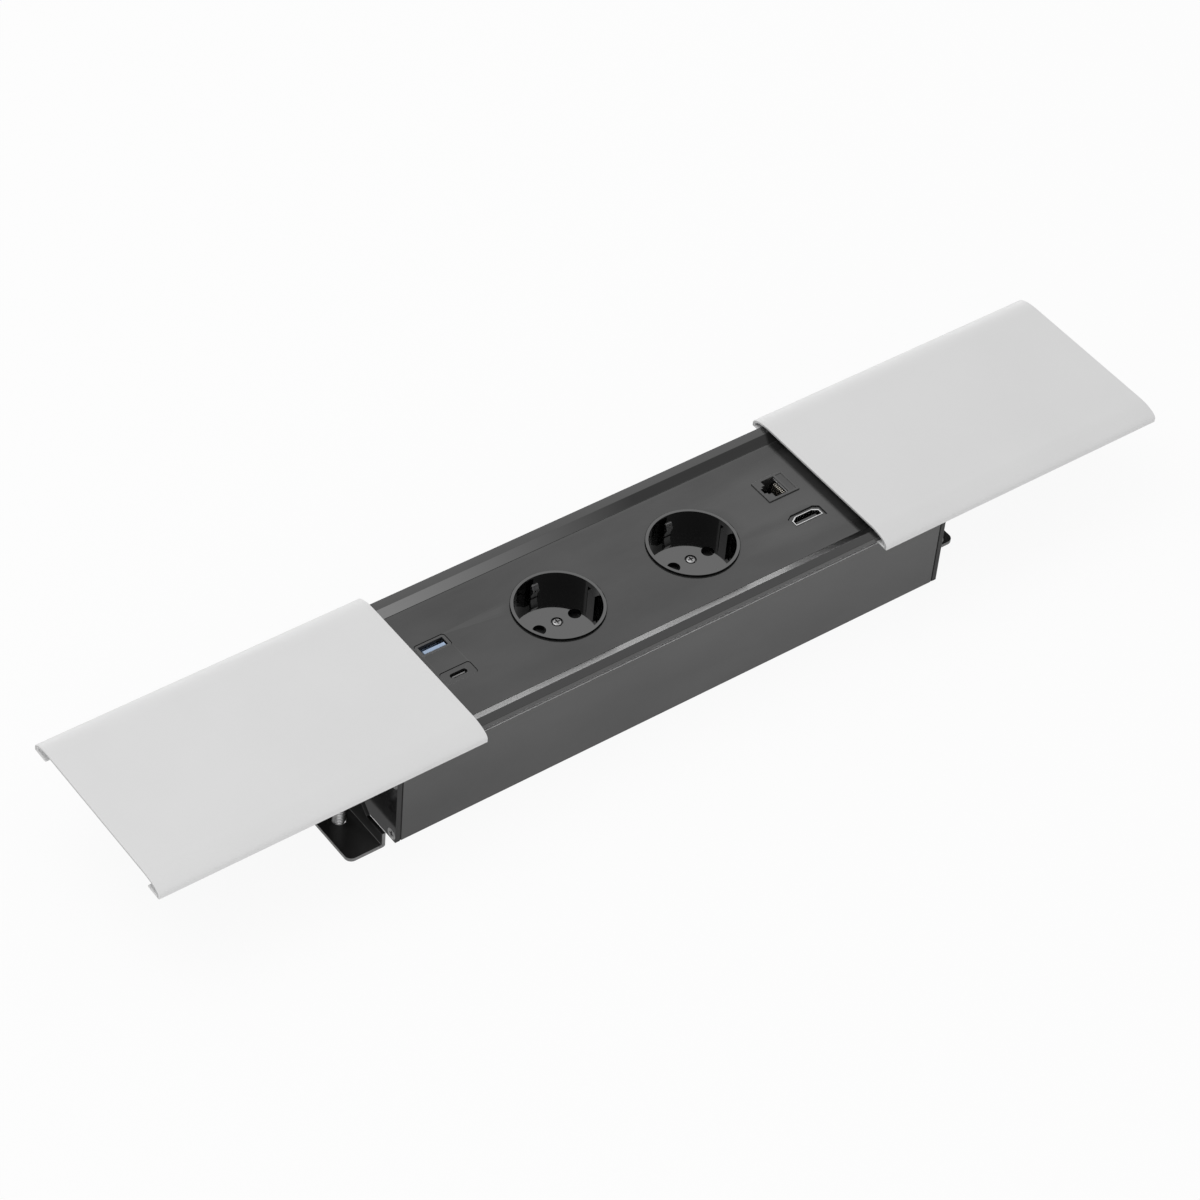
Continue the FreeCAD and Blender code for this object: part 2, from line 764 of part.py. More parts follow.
def usb_a_tongue():
    z0 = board_z + board_t
    z1 = panel_top_z - bezel_recess - usb_recess
    base = block(charge_x, usb_a_y, usb_a_open_x, usb_a_open_y, z0, z0 + tongue_base_h)
    y = usb_a_y - usb_a_open_y / 2 + usb_a_tongue_gap + usb_a_tongue_y / 2
    return fuse(base, block(charge_x, y, usb_a_tongue_x, usb_a_tongue_y, z0, z1))


def usb_c_bezel():
    z1 = panel_top_z - bezel_recess
    solid = slab(charge_x, usb_c_y, bezel_len, bezel_w, bezel_r, z1 - bezel_t, z1)
    hole = slab(charge_x, usb_c_y, usb_c_open_x, usb_c_open_y, usb_c_open_y / 2, z1 - bezel_t - 1, z1 + 1)
    return cut(solid, hole)


def usb_c_shell():
    z0, z1 = board_z + board_t, panel_top_z - bezel_recess - bezel_t
    t = 2 * usb_c_shell_t
    solid = slab(charge_x, usb_c_y, usb_c_open_x + t, usb_c_open_y + t, (usb_c_open_y + t) / 2, z0, z1)
    hole = slab(charge_x, usb_c_y, usb_c_open_x, usb_c_open_y, usb_c_open_y / 2, z0 - 1, z1 + 1)
    return cut(solid, hole)


def usb_c_tongue():
    z0 = board_z + board_t
    z1 = panel_top_z - bezel_recess - usb_recess - usb_c_tongue_drop
    base = slab(charge_x, usb_c_y, usb_c_open_x, usb_c_open_y, usb_c_open_y / 2, z0, z0 + tongue_base_h)
    return fuse(base, block(charge_x, usb_c_y, usb_c_tongue_x, usb_c_tongue_y, z0, z1))


# Network jack: a feed-through coupler with a socket above and below
def jack_outline():
    y = jack_open_y / 2
    s1, s2 = jack_step1_y / 2, jack_step2_y / 2
    pts = [(jack_open_x1, -y), (jack_open_x1, y), (jack_open_x0, y), (jack_open_x0, s1),
           (jack_step1_x, s1), (jack_step1_x, s2), (jack_step2_x, s2), (jack_step2_x, -s2),
           (jack_step1_x, -s2), (jack_step1_x, -s1), (jack_open_x0, -s1), (jack_open_x0, -y)]
    return [(jack_x + px, jack_y + py) for px, py in pts]


def network_jack():
    top = panel_top_z + jack_plate_h
    body = block(jack_x, jack_y, jack_body_x, jack_body_y, jack_bottom_z, panel_top_z)
    plate = block(jack_x, jack_y, jack_plate_x, jack_plate_y, panel_top_z, top)
    solid = fuse(body, plate)
    cup = along_z(jack_outline(), jack_web_z + jack_web_t, top + 1)
    lower = along_z(jack_outline(), jack_bottom_z - 1, jack_web_z)
    mid_x = jack_x + (label_x0 + label_x1) / 2
    label = block(mid_x, jack_y, label_x1 - label_x0, label_y, top - label_depth, top + 1)
    return cut(solid, cup, lower, label)


def network_shield():
    x1 = jack_x + jack_open_x1
    return box(x1 - shield_t, x1, jack_y - jack_open_y / 2, jack_y + jack_open_y / 2,
               jack_web_z + jack_web_t, panel_top_z + jack_plate_h - shield_drop)


def network_contacts():
    z0 = jack_web_z + jack_web_t
    z1 = panel_top_z - wire_top_drop
    x1 = jack_x + jack_open_x1 - shield_t - wire_gap
    knee_x, knee_z = x1 - wire_lean, z0 + wire_knee_h
    outline = [(x1, z0), (x1, z1), (x1 - wire_t, z1), (knee_x, knee_z), (knee_x, knee_z - wire_knee_t),
               (x1 - wire_t, z1 - wire_hook_h), (x1 - wire_t, z0)]
    out = []
    for i in range(wire_count):
        y = jack_y + (i - (wire_count - 1) / 2) * wire_pitch - wire_w / 2
        out.append(face([V(px, y, pz) for px, pz in outline]).extrude(V(0, wire_w, 0)))
    return out


# Video port: a metal shell round a tongue, in a feed-through block
def video_outline(grow):
    hx = video_shell_x / 2 + grow
    y0 = video_y - video_shell_y / 2 - grow
    y1 = video_y + video_shell_y / 2 + grow
    ym = y1 - video_chamfer_y
    xm = hx - video_chamfer_x
    return [(video_x - hx, y0), (video_x + hx, y0), (video_x + hx, ym), (video_x + xm, y1),
            (video_x - xm, y1), (video_x - hx, ym)]


def video_block():
    z1 = panel_top_z - video_recess
    body = block(video_x, video_y, video_block_x, video_block_y, video_bottom_z, panel_under_z)
    neck = along_z(video_outline(video_rim), panel_under_z, z1)
    solid = fuse(body, neck)
    upper = along_z(video_outline(0), video_web_z + jack_web_t, z1 + 1)
    lower = along_z(video_outline(0), video_bottom_z - 1, video_web_z)
    return cut(solid, upper, lower)


def video_shell():
    z0, z1 = video_web_z + jack_web_t, panel_top_z - video_recess / 2
    return cut(along_z(video_outline(0), z0, z1),
               along_z(video_outline(-video_shell_t), z0 + video_shell_floor_t, z1 + 1))


def video_tongue():
    z0 = video_web_z + jack_web_t + video_shell_floor_t
    z1 = panel_top_z - video_tongue_drop
    return block(video_x, video_y - video_tongue_shift, video_tongue_x, video_tongue_y, z0, z1)


# Mains inlet with three pins, facing out of the right end
def inlet_screw_ys():
    return [inlet_y - inlet_screw_y, inlet_y + inlet_screw_y]


def inlet_pin_ys():
    # live, earth, neutral, from the front
    return [inlet_y - inlet_pin_spacing, inlet_y, inlet_y + inlet_pin_spacing]


def mains_inlet():
    x1 = half_l
    x0 = x1 - inlet_depth
    flange_x1 = x1 + inlet_flange_t
    body = box(x0, x1, inlet_y - inlet_w / 2, inlet_y + inlet_w / 2,
               inlet_z - inlet_h / 2, inlet_z + inlet_h / 2)
    flange = box(x1, flange_x1, inlet_y - inlet_flange_w / 2, inlet_y + inlet_flange_w / 2,
                 inlet_z - inlet_flange_h / 2, inlet_z + inlet_flange_h / 2)
    edges = [e for e in flange.Edges if abs(e.BoundBox.XLength - inlet_flange_t) < 1e-6]
    flange = flange.makeFillet(inlet_corner_r, edges)
    w = inlet_w / 2 - inlet_wall
    h = inlet_h / 2 - inlet_wall
    mouth = box(x0 + inlet_back_t, flange_x1 + 1, inlet_y - w, inlet_y + w, inlet_z - h, inlet_z + h)
    holes = [rod_x(inlet_screw_r, x1 - 1, flange_x1 + 1, y, inlet_z) for y in inlet_screw_ys()]
    holes += [rod_x(inlet_pin_r, x0 - 1, x0 + inlet_back_t + 1, y, inlet_z) for y in inlet_pin_ys()]
    return cut(fuse(body, flange), mouth, *holes)


def inlet_pins():
    x0 = half_l - inlet_depth
    return [rod_x(inlet_pin_r, x0 - inlet_pin_tail, x0 + inlet_pin_length, y, inlet_z)
            for y in inlet_pin_ys()]


def inlet_screws():
    x1 = half_l + inlet_flange_t
    out = []
    for y in inlet_screw_ys():
        shank = rod_x(inlet_screw_r, plate_in_x, x1, y, inlet_z)
        head = rod_x(inlet_screw_head_r, x1, x1 + inlet_screw_head_h, y, inlet_z)
        out.append(fuse(shank, head))
    return out


def bar_tail(y_bar, y_pin, z0, turn_x):
    # the bar turns towards the front, runs on past the feed windows, then rises to its pin
    x_pin = half_l - inlet_depth - inlet_pin_tail
    w = riser_half_w
    jog = box(turn_x - w, turn_x + w, min(y_bar, y_pin) - w, max(y_bar, y_pin) + w, z0, z0 + busbar_t)
    run = box(turn_x - w, x_pin, y_pin - w, y_pin + w, z0, z0 + busbar_t)
    rise = box(x_pin - busbar_t, x_pin, y_pin - w, y_pin + w, z0, inlet_z + w)
    return fuse(jog, run, rise)


# Clamp brackets
def bracket_screw_ys(side):
    mid = side * bracket_mid_y
    return [mid - bracket_screw_span / 2, mid + bracket_screw_span / 2]


def clamp_bracket():
    # drawn at the right end; the left one is the same part turned half round
    x0 = bracket_x
    x1 = x0 + bracket_reach
    mid = bracket_mid_y
    y0, y1 = mid - bracket_length / 2, mid + bracket_length / 2
    foot = box(x0, x1, y0, y1, 0, bracket_t)
    corners = [e for e in foot.Edges
               if abs(e.BoundBox.ZLength - bracket_t) < 1e-6 and abs(e.CenterOfMass.x - x1) < 1e-6]
    foot = foot.makeFillet(bracket_corner_r, corners)
    half = bracket_tab_w / 2
    s = bracket_shoulder
    upright = along_x([(y0, 0), (y1, 0), (y1, bracket_lip_h), (mid + half + s, bracket_lip_h),
                       (mid + half, bracket_lip_h + s), (mid + half, bracket_tab_h),
                       (mid - half, bracket_tab_h), (mid - half, bracket_lip_h + s),
                       (mid - half - s, bracket_lip_h), (y0, bracket_lip_h)], x0, x0 + bracket_t)
    solid = fuse(foot, upright)
    bend = [e for e in solid.Edges
            if e.BoundBox.YLength > bracket_length - 1 and abs(e.CenterOfMass.x - x0) < 1e-6
            and abs(e.CenterOfMass.z) < 1e-6]
    solid = solid.makeFillet(bracket_bend_r, bend)
    for y in bracket_screw_ys(1):
        solid = cut(solid, rod_x(bracket_screw_r, x0 - 1, x0 + bracket_t + 1, y, bracket_screw_z))
    for y in clamp_screw_ys():
        solid = cut(solid, rod(clamp_screw_r, -1, bracket_t + 1, x0 + clamp_screw_x, y))
    return solid


def bracket_spacers():
    x1 = half_l
    return [cut(rod_x(bracket_spacer_r, x1, bracket_x, y, bracket_screw_z),
                rod_x(bracket_screw_r, x1 - 1, bracket_x + 1, y, bracket_screw_z))
            for y in bracket_screw_ys(1)]


def bracket_screws():
    x1 = bracket_x + bracket_t
    out = []
    for y in bracket_screw_ys(1):
        shank = rod_x(bracket_screw_r, plate_in_x, x1, y, bracket_screw_z)
        head = rod_x(bracket_screw_head_r, x1, x1 + bracket_screw_head_h, y, bracket_screw_z)
        key_x0 = x1 + bracket_screw_head_h - bracket_key_depth
        socket = rod_x(bracket_key_r, key_x0, x1 + bracket_screw_head_h + 1, y, bracket_screw_z)
        out.append(cut(fuse(shank, head), socket))
    return out


def clamp_screw_ys():
    return [bracket_mid_y - clamp_screw_span / 2, bracket_mid_y + clamp_screw_span / 2]


def clamp_screws():
    x = bracket_x + clamp_screw_x
    return [rod(clamp_screw_r, clamp_screw_foot, clamp_screw_length, x, y) for y in clamp_screw_ys()]


def clamp_pads():
    x = bracket_x + clamp_screw_x
    z0 = clamp_screw_length - clamp_pad_overlap
    out = []
    for y in clamp_screw_ys():
        pad = rod(clamp_pad_r, z0, z0 + clamp_pad_t, x, y)
        out.append(cut(pad, rod(clamp_screw_r, z0 - 1, clamp_screw_length, x, y)))
    return out


os.makedirs("parts", exist_ok=True)
save("housing_profile", housing_profile())
save("socket_panel", socket_panel())
save("panel_screws", panel_screws())
for side, word in ((-1, "left"), (1, "right")):
    save("end_plate_" + word, end_plate(side))
    save("end_seal_" + word, end_seal(side))
    save("end_screws_" + word, end_screws(side))
    save("rail_pads_" + word, rail_pads(side))
for x, word in zip(socket_xs, ("left", "right")):
    save("socket_insert_" + word, socket_insert(x))
    save("socket_core_" + word, socket_core(x))
    save("socket_latches_" + word, socket_latches(x))
    save("earth_strap_" + word, earth_strap(x))
    save("shutter_" + word, shutter(x))
    save("centre_screw_" + word, centre_screw(x))
save("live_busbar", busbar(-1))
save("neutral_busbar", busbar(1))
save("earth_busbar", earth_busbar())
save("busbar_posts", busbar_posts())
save("mains_inlet", mains_inlet())
save("inlet_pins", inlet_pins())
save("inlet_screws", inlet_screws())
save("charger_pad", charger_pad())
save("charger_module", charger_module())
save("charger_board", block(charge_x, 0, board_x, board_y, board_z, board_z + board_t))
save("board_screws", board_screws())
save("usb_a_bezel", usb_a_bezel())
save("usb_a_shell", usb_a_shell())
save("usb_a_tongue", usb_a_tongue())
save("usb_c_bezel", usb_c_bezel())
save("usb_c_shell", usb_c_shell())
save("usb_c_tongue", usb_c_tongue())
save("network_jack", network_jack())
save("network_shield", network_shield())
save("network_contacts", network_contacts())
save("video_block", video_block())
save("video_shell", video_shell())
save("video_tongue", video_tongue())
for word, place in (("right", lambda s: s), ("left", turned)):
    save("cover_" + word, place(cover_right()))
    save("cover_glides_" + word, [place(s) for s in glides_right()])
    save("clamp_bracket_" + word, place(clamp_bracket()))
    save("bracket_spacers_" + word, [place(s) for s in bracket_spacers()])
    save("bracket_screws_" + word, [place(s) for s in bracket_screws()])
    save("clamp_screws_" + word, [place(s) for s in clamp_screws()])
    save("clamp_pads_" + word, [place(s) for s in clamp_pads()])
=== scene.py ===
import json
import math

import bmesh
import bpy
from mathutils import Matrix, Vector


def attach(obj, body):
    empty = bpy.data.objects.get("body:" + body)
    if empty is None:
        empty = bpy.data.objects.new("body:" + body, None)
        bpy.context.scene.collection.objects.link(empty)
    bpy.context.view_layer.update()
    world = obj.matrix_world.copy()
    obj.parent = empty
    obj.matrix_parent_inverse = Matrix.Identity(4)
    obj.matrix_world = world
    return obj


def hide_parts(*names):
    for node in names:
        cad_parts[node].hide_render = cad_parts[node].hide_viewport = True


bl_info = {
    "name": "Desk Power Module",
    "version": (1, 0, 0),
    "blender": (4, 5, 0),
    "location": "View3D > Sidebar > Power Module",
    "description": "Dresses an in-desk power module with two sliding covers",
    "category": "Add Mesh",
}

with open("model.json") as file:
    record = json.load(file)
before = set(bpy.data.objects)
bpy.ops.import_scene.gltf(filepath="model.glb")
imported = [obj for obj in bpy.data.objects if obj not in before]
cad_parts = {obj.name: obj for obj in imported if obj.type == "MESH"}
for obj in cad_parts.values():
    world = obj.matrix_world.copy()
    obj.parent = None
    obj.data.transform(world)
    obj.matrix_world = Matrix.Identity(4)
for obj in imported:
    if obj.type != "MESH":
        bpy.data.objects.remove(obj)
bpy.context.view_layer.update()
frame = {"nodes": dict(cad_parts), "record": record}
BODIES = frame["record"]["behaviour"]["bodies"]
BODY_OF = {node: body for body, nodes in BODIES.items() for node in nodes}
SIDES = ("left", "right")


def mm(value):
    return value / 1000.0


# Materials

# How a pattern is stretched along X, Y and Z
EVEN = (1, 1, 1)
BRUSHED = (0.06, 1, 1)
DRIFTING = (0.5, 1, 1)

# How strongly the grain lightens the colour, and how far the mottling changes the roughness
GRAIN_TINT = 0.35
ROUGH_SPREAD = 0.15

# Worn edges and painted edge highlights: from which to which sharpness they show, and how much
# lighter they are
WORN_AND_LIT_FROM = 0.52
WORN_AND_LIT_TO = 0.6
WORN_AND_LIT_GAIN = 2.2
WORN_AND_LIT_LIFT = 0.02

# Scale of the clouds in a sheen
CLOUD_SCALE = 22.0


def grey(value):
    """A neutral colour from a screen value of 0 to 255."""
    v = value / 255
    lin = v / 12.92 if v <= 0.04045 else ((v + 0.055) / 1.055) ** 2.4
    return (lin, lin, lin)


class Recipe:
    """Adds nodes to one material, from the object's own coordinates."""

    def __init__(self, name):
        self.mat = bpy.data.materials.new(name)
        self.mat.use_nodes = True
        self.tree = self.mat.node_tree
        self.tree.nodes.clear()
        self.out = self.add("ShaderNodeOutputMaterial")
        self.shader = self.add("ShaderNodeBsdfPrincipled")
        self.link(self.shader.outputs[0], self.out.inputs[0])
        self.coords = self.add("ShaderNodeTexCoord").outputs["Object"]

    def add(self, kind, **settings):
        node = self.tree.nodes.new(kind)
        for key, value in settings.items():
            setattr(node, key, value)
        return node

    def link(self, a, b):
        self.tree.links.new(a, b)

    def noise(self, scale, detail=3.0, rough=0.5, stretch=EVEN):
        mapping = self.add("ShaderNodeMapping")
        mapping.inputs["Scale"].default_value = stretch
        self.link(self.coords, mapping.inputs["Vector"])
        node = self.add("ShaderNodeTexNoise")
        node.inputs["Scale"].default_value = scale
        node.inputs["Detail"].default_value = detail
        node.inputs["Roughness"].default_value = rough
        self.link(mapping.outputs[0], node.inputs["Vector"])
        return node.outputs["Fac"]

    def mapped(self, value, low, high, from_low=0.3, from_high=0.7):
        node = self.add("ShaderNodeMapRange")
        node.inputs["From Min"].default_value = from_low
        node.inputs["From Max"].default_value = from_high
        node.inputs["To Min"].default_value = low
        node.inputs["To Max"].default_value = high
        self.link(value, node.inputs["Value"])
        return node.outputs[0]

    def blend(self, factor, a, b):
        # The colours of a Mix node are its sockets 6 and 7, and come out at socket 2
        node = self.add("ShaderNodeMix", data_type="RGBA")
        self.link(factor, node.inputs[0])
        for socket, colour in ((node.inputs[6], a), (node.inputs[7], b)):
            if isinstance(colour, tuple):
                socket.default_value = (*colour[:3], 1)
            else:
                self.link(colour, socket)
        return node.outputs[2]

    def bump(self, height, strength, distance, after=None):
        node = self.add("ShaderNodeBump")
        node.inputs["Strength"].default_value = strength
        node.inputs["Distance"].default_value = distance
        self.link(height, node.inputs["Height"])
        if after is not None:
            self.link(after, node.inputs["Normal"])
        return node.outputs[0]


def surface(name, colour, rough, spread, patch, grain, grain_depth, metal=0.0, specular=0.5,
            stretch=EVEN, wear_and_highlight=0.0, cloud=0.0, painted_reflection_fade=None, index=None):
    """A finish with mottled colour and roughness, fine grain, and edges lightened as wear and as
    painted highlight, where asked.

    spread is how far the mottling leaves the colour, and patch and grain are the scales of the
    mottling and of the grain, whose depth is in millimetres. The sheen is even, or clouded, or
    fades along X as a painted reflection that darkens towards its end: the fade setting holds
    where it starts, where it ends and what is left of it. index is the index of refraction, where
    it isn't the usual one.
    """
    r = Recipe(name)
    patches = r.noise(patch, detail=4.0, rough=0.55, stretch=stretch)
    fine = r.noise(grain, detail=2.0, rough=0.6, stretch=stretch)
    low = tuple(c * (1 - spread) for c in colour)
    high = tuple(min(1.0, c * (1 + spread)) for c in colour)
    tint = r.blend(r.mapped(patches, 0.0, 1.0), low, high)
    tint = r.blend(r.mapped(fine, 0.0, GRAIN_TINT), tint, high)
    # Sharp edges lighten: partly wear, partly a painted highlight
    if wear_and_highlight:
        geometry = r.add("ShaderNodeNewGeometry")
        edge = r.mapped(geometry.outputs["Pointiness"], 0.0, wear_and_highlight, WORN_AND_LIT_FROM, WORN_AND_LIT_TO)
        worn_and_lit = tuple(min(1.0, c * WORN_AND_LIT_GAIN + WORN_AND_LIT_LIFT) for c in colour)
        tint = r.blend(edge, tint, worn_and_lit)
    r.link(tint, r.shader.inputs["Base Color"])
    satin = r.mapped(patches, rough * (1 - ROUGH_SPREAD), min(1.0, rough * (1 + ROUGH_SPREAD)))
    r.link(satin, r.shader.inputs["Roughness"])
    r.shader.inputs["Metallic"].default_value = metal
    if index:
        r.shader.inputs["IOR"].default_value = index
    sheen = r.shader.inputs["Specular IOR Level"]
    if cloud:
        drift = r.noise(CLOUD_SCALE, detail=5.0, rough=0.6, stretch=DRIFTING)
        r.link(r.mapped(drift, specular * (1 - cloud), specular * (1 + cloud)), sheen)
    # Painted reflection: the sheen fades along X, so the face is lighter at one end and darker at
    # the other
    elif painted_reflection_fade:
        start, end, least = painted_reflection_fade
        parts = r.add("ShaderNodeSeparateXYZ")
        r.link(r.coords, parts.inputs[0])
        r.link(r.mapped(parts.outputs["X"], specular, least, start, end), sheen)
    else:
        sheen.default_value = specular
    normal = r.bump(fine, strength=0.5, distance=mm(grain_depth))
    normal = r.bump(patches, strength=0.25, distance=mm(grain_depth * 2), after=normal)
    r.link(normal, r.shader.inputs["Normal"])


def finish_settings():
    """What each finish is made with, by its name."""
    look = bpy.context.scene.module_finish
    anodised = dict(colour=look.housing_colour[:], rough=look.housing_roughness, patch=40.0,
                    grain=900.0, stretch=BRUSHED)
    cover = dict(rough=look.cover_roughness, patch=25.0, grain=1500.0)
    steel = dict(metal=1.0, spread=0.12, patch=500.0, grain=3500.0, grain_depth=0.012)
    socket = dict(colour=look.socket_colour[:], spread=0.1, patch=150.0, grain=2600.0,
                  grain_depth=0.001)
    return {
        "housing": dict(anodised, specular=0.86, spread=0.25, grain_depth=0.006, wear_and_highlight=0.5,
                        cloud=0.12),
        "panel": dict(anodised, specular=0.8, spread=0.25, grain_depth=0.006, wear_and_highlight=0.5,
                      cloud=0.16),
        # Painted shade: the front rail's top takes a weaker sheen than the rest of the same
        # extrusion, so it looks darker
        "front_rail_top_painted_shade": dict(anodised, specular=0.55, spread=0.25, grain_depth=0.006),
        "front_slope": dict(anodised, specular=0.84, spread=0.2, grain_depth=0.002),
        # Painted reflection: the rear slope's sheen fades from full on the left to little on the
        # right
        "rear_slope_painted_reflection": dict(anodised, specular=1.0, spread=0.25, grain_depth=0.003, index=1.9,
                           painted_reflection_fade=(mm(-100), mm(30), 0.12)),
        # Painted highlight: near white on the black housing's groove lips and floors, where the
        # groove looks bright
        "groove_painted_highlight": dict(colour=grey(250), rough=0.6, spread=0.03, patch=60.0, grain=900.0,
                           grain_depth=0.001),
        # Painted shade: near black on the outer top corners of the rails and the outer sides of
        # the socket rings, where thin shadow lines fall
        "painted_shade_edge": dict(colour=grey(6), rough=0.8, specular=0.05, spread=0.1, patch=60.0,
                     grain=900.0, grain_depth=0.004),
        "plate": dict(colour=look.housing_colour[:], rough=0.14, specular=0.3, spread=0.25,
                      patch=90.0, grain=2500.0, grain_depth=0.004),
        "cover_paint": dict(cover, colour=look.cover_colour[:], specular=0.45, spread=0.012,
                            grain_depth=0.012),
        "cut_end": dict(cover, colour=grey(188), specular=0.3, spread=0.03, grain_depth=0.01),
        "bracket_paint": dict(colour=look.bracket_colour[:], rough=0.34, specular=0.4,
                              spread=0.15, patch=120.0, grain=1400.0, grain_depth=0.01,
                              wear_and_highlight=1.0),
        # Painted highlight on the edges of brackets and shutters; also the grey of the smaller
        # port's tongue
        "tongue_grey_and_painted_highlight": dict(colour=grey(120), rough=0.3, metal=0.3, specular=0.6, spread=0.2,
                            patch=300.0, grain=2500.0, grain_depth=0.004),
        # Painted shade: near black on the underside of the covers, where the cavity beneath lies
        # in shadow
        "painted_shade_lining": dict(colour=grey(22), rough=0.5, specular=0.3, spread=0.2, patch=60.0,
                            grain=1500.0, grain_depth=0.01),
        "gilt": dict(colour=(0.76, 0.72, 0.64), rough=0.3, metal=1.0, spread=0.15, patch=600.0,
                     grain=3000.0, grain_depth=0.004),
        "clip_metal": dict(colour=grey(120), rough=0.3, metal=1.0, spread=0.2, patch=500.0,
                           grain=3000.0, grain_depth=0.006),
        "black_steel": dict(colour=grey(95), rough=0.3, metal=0.55, spread=0.2, patch=400.0,
                            grain=3000.0, grain_depth=0.01, wear_and_highlight=0.8),
        "zinc_steel": dict(steel, colour=grey(178), rough=0.3),
        "screw_steel": dict(steel, colour=grey(158), rough=0.35),
        "seal_rubber": dict(colour=grey(22), rough=0.75, specular=0.3, spread=0.2, patch=200.0,
                            grain=2500.0, grain_depth=0.04),
        "socket_plastic": dict(socket, rough=0.07, specular=0.35),
        # Painted sheen: level faces of the same plastic take a much stronger sheen, so they mirror
        # more of the sky
        "socket_face_painted_sheen": dict(socket, rough=0.05, specular=1.0, index=1.66),
        "core_plastic": dict(colour=grey(30), rough=0.5, specular=0.4, spread=0.15, patch=200.0,
                             grain=1800.0, grain_depth=0.02),
        "shutter_plastic": dict(colour=grey(26), rough=0.4, specular=0.4, spread=0.12,
                                patch=200.0, grain=1800.0, grain_depth=0.02),
        "glide_plastic": dict(colour=grey(215), rough=0.45, specular=0.4, spread=0.04,
                              patch=120.0, grain=1500.0, grain_depth=0.02),
        "black_plastic": dict(colour=grey(26), rough=0.22, specular=0.9, spread=0.18,
                              patch=180.0, grain=2200.0, grain_depth=0.006, wear_and_highlight=0.5),
        "tongue_plastic": dict(colour=look.tongue_colour[:], rough=0.38, specular=0.45,
                               spread=0.06, patch=300.0, grain=3000.0, grain_depth=0.01),
        "contact_metal": dict(colour=grey(205), rough=0.2, metal=1.0, spread=0.06, patch=400.0,
                              grain=3500.0, grain_depth=0.008),
        "brass_parts": dict(colour=(0.62, 0.42, 0.16), rough=0.26, metal=1.0, spread=0.12,
                            patch=300.0, grain=3000.0, grain_depth=0.01),
        "board": dict(colour=(0.012, 0.09, 0.035), rough=0.3, spread=0.2, patch=600.0,
                      grain=2500.0, grain_depth=0.02),
    }


def make_finishes():
    for name, settings in finish_settings().items():
        surface("finish_" + name, **settings)


def finish(name):
    return bpy.data.materials["finish_" + name]


# Meshes

# Points of a CAD mesh nearer than this are one
MERGE = 1e-6

# Faces that meet at less than FLAT are one face, and edges sharper than SHARP are rounded
FLAT = math.radians(0.6)
SHARP = math.radians(28)
SHARP_EXTRUSION = math.radians(20)
SHARP_SHEET = math.radians(40)

# Shape of a rounded edge, where 0.5 is a plain arc, and the width that leaves edges sharp
EDGE_PROFILE = 0.6
NO_ROUNDING = 0.0


def add_piece(name, mesh, node):
    """A piece that stands for a CAD node and moves with the node's body."""
    piece = bpy.data.objects.new(name, mesh)
    bpy.context.scene.collection.objects.link(piece)
    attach(piece, BODY_OF[node])
    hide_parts(node)


def merged(node):
    """A copy of a CAD node's mesh with its loose triangles joined."""
    bm = bmesh.new()
    bm.from_mesh(frame["nodes"][node].data)
    bmesh.ops.remove_doubles(bm, verts=bm.verts, dist=MERGE)
    return bm


def sharp_edges(bm, sharper_than):
    return [e for e in bm.edges
            if len(e.link_faces) == 2 and e.calc_face_angle(0.0) > sharper_than]


def flat_normal(vert, made):
    """The direction of the flat faces around a point, without the faces of a rounded edge."""
    near = [f for f in vert.link_faces if f not in made] or list(vert.link_faces)
    total = sum((f.normal * f.calc_area() for f in near), Vector())
    return total.normalized() if total.length > 0 else vert.normal.copy()


def finish_mesh(bm, name, coats, made=()):
    """Writes a mesh; where rounded edges were made, they blend into faces that stay flat."""
    bm.normal_update()
    normals = [flat_normal(vert, made) for vert in bm.verts] if made else []
    for f in bm.faces:
        f.smooth = True
    mesh = bpy.data.meshes.new(name)
    bm.to_mesh(mesh)
    bm.free()
    for coat in coats:
        mesh.materials.append(finish(coat))
    if made:
        mesh.normals_split_custom_set_from_vertices(normals)
    return mesh


def rounded_copy(node, coat, width, segments=2, sharper_than=SHARP, others=(), picked=None):
    """A copy of one CAD node with its sharp edges rounded.

    picked names the finish of each face: coat, or one of the others.
    """
    bm = merged(node)
    bmesh.ops.dissolve_limit(bm, angle_limit=FLAT, verts=bm.verts, edges=bm.edges)
    sharp = sharp_edges(bm, sharper_than)
    made = set()
    if width > 0:
        bevel = bmesh.ops.bevel(bm, geom=sharp, offset=width, offset_type="OFFSET",
                                segments=segments, profile=EDGE_PROFILE, affect="EDGES",
                                clamp_overlap=True)
        made = set(bevel["faces"])
    else:
        for e in sharp:
            e.smooth = False
    coats = (coat, *others)
    if picked:
        bm.normal_update()
        for f in bm.faces:
            f.material_index = coats.index(picked(f.normal, f.calc_center_median(), f in made))
    name = node + "_finished"
    add_piece(name, finish_mesh(bm, name, coats, made), node)


def repaint(node, coat):
    """A CAD node that keeps its own mesh and takes a better material."""
    target = frame["nodes"][node]
    target.data.materials.clear()
    target.data.materials.append(finish(coat))


# Which finish a face takes

# Shares of a normal: along an axis, upwards, towards an end, and on a slope beside the panel
FACING = 0.9
UPWARDS = 0.3
ENDWAYS = 0.5
SLOPE_LEAST = 0.2
SLOPE_MOST = 0.8

# The painted shade lining reaches this far to each side under a cover
SHADE_LINING_REACH = mm(30)

# Height of a bracket's foot and fold
FOOT_HEIGHT = mm(2.6)

# The housing's parts, by height and by distance from the middle line
LIP_LOW = mm(43.6)
LIP_HIGH = mm(44.6)
LIP_INSIDE = mm(38)
RAIL_LOW = mm(45.9)
RAIL_CORNER = mm(42)

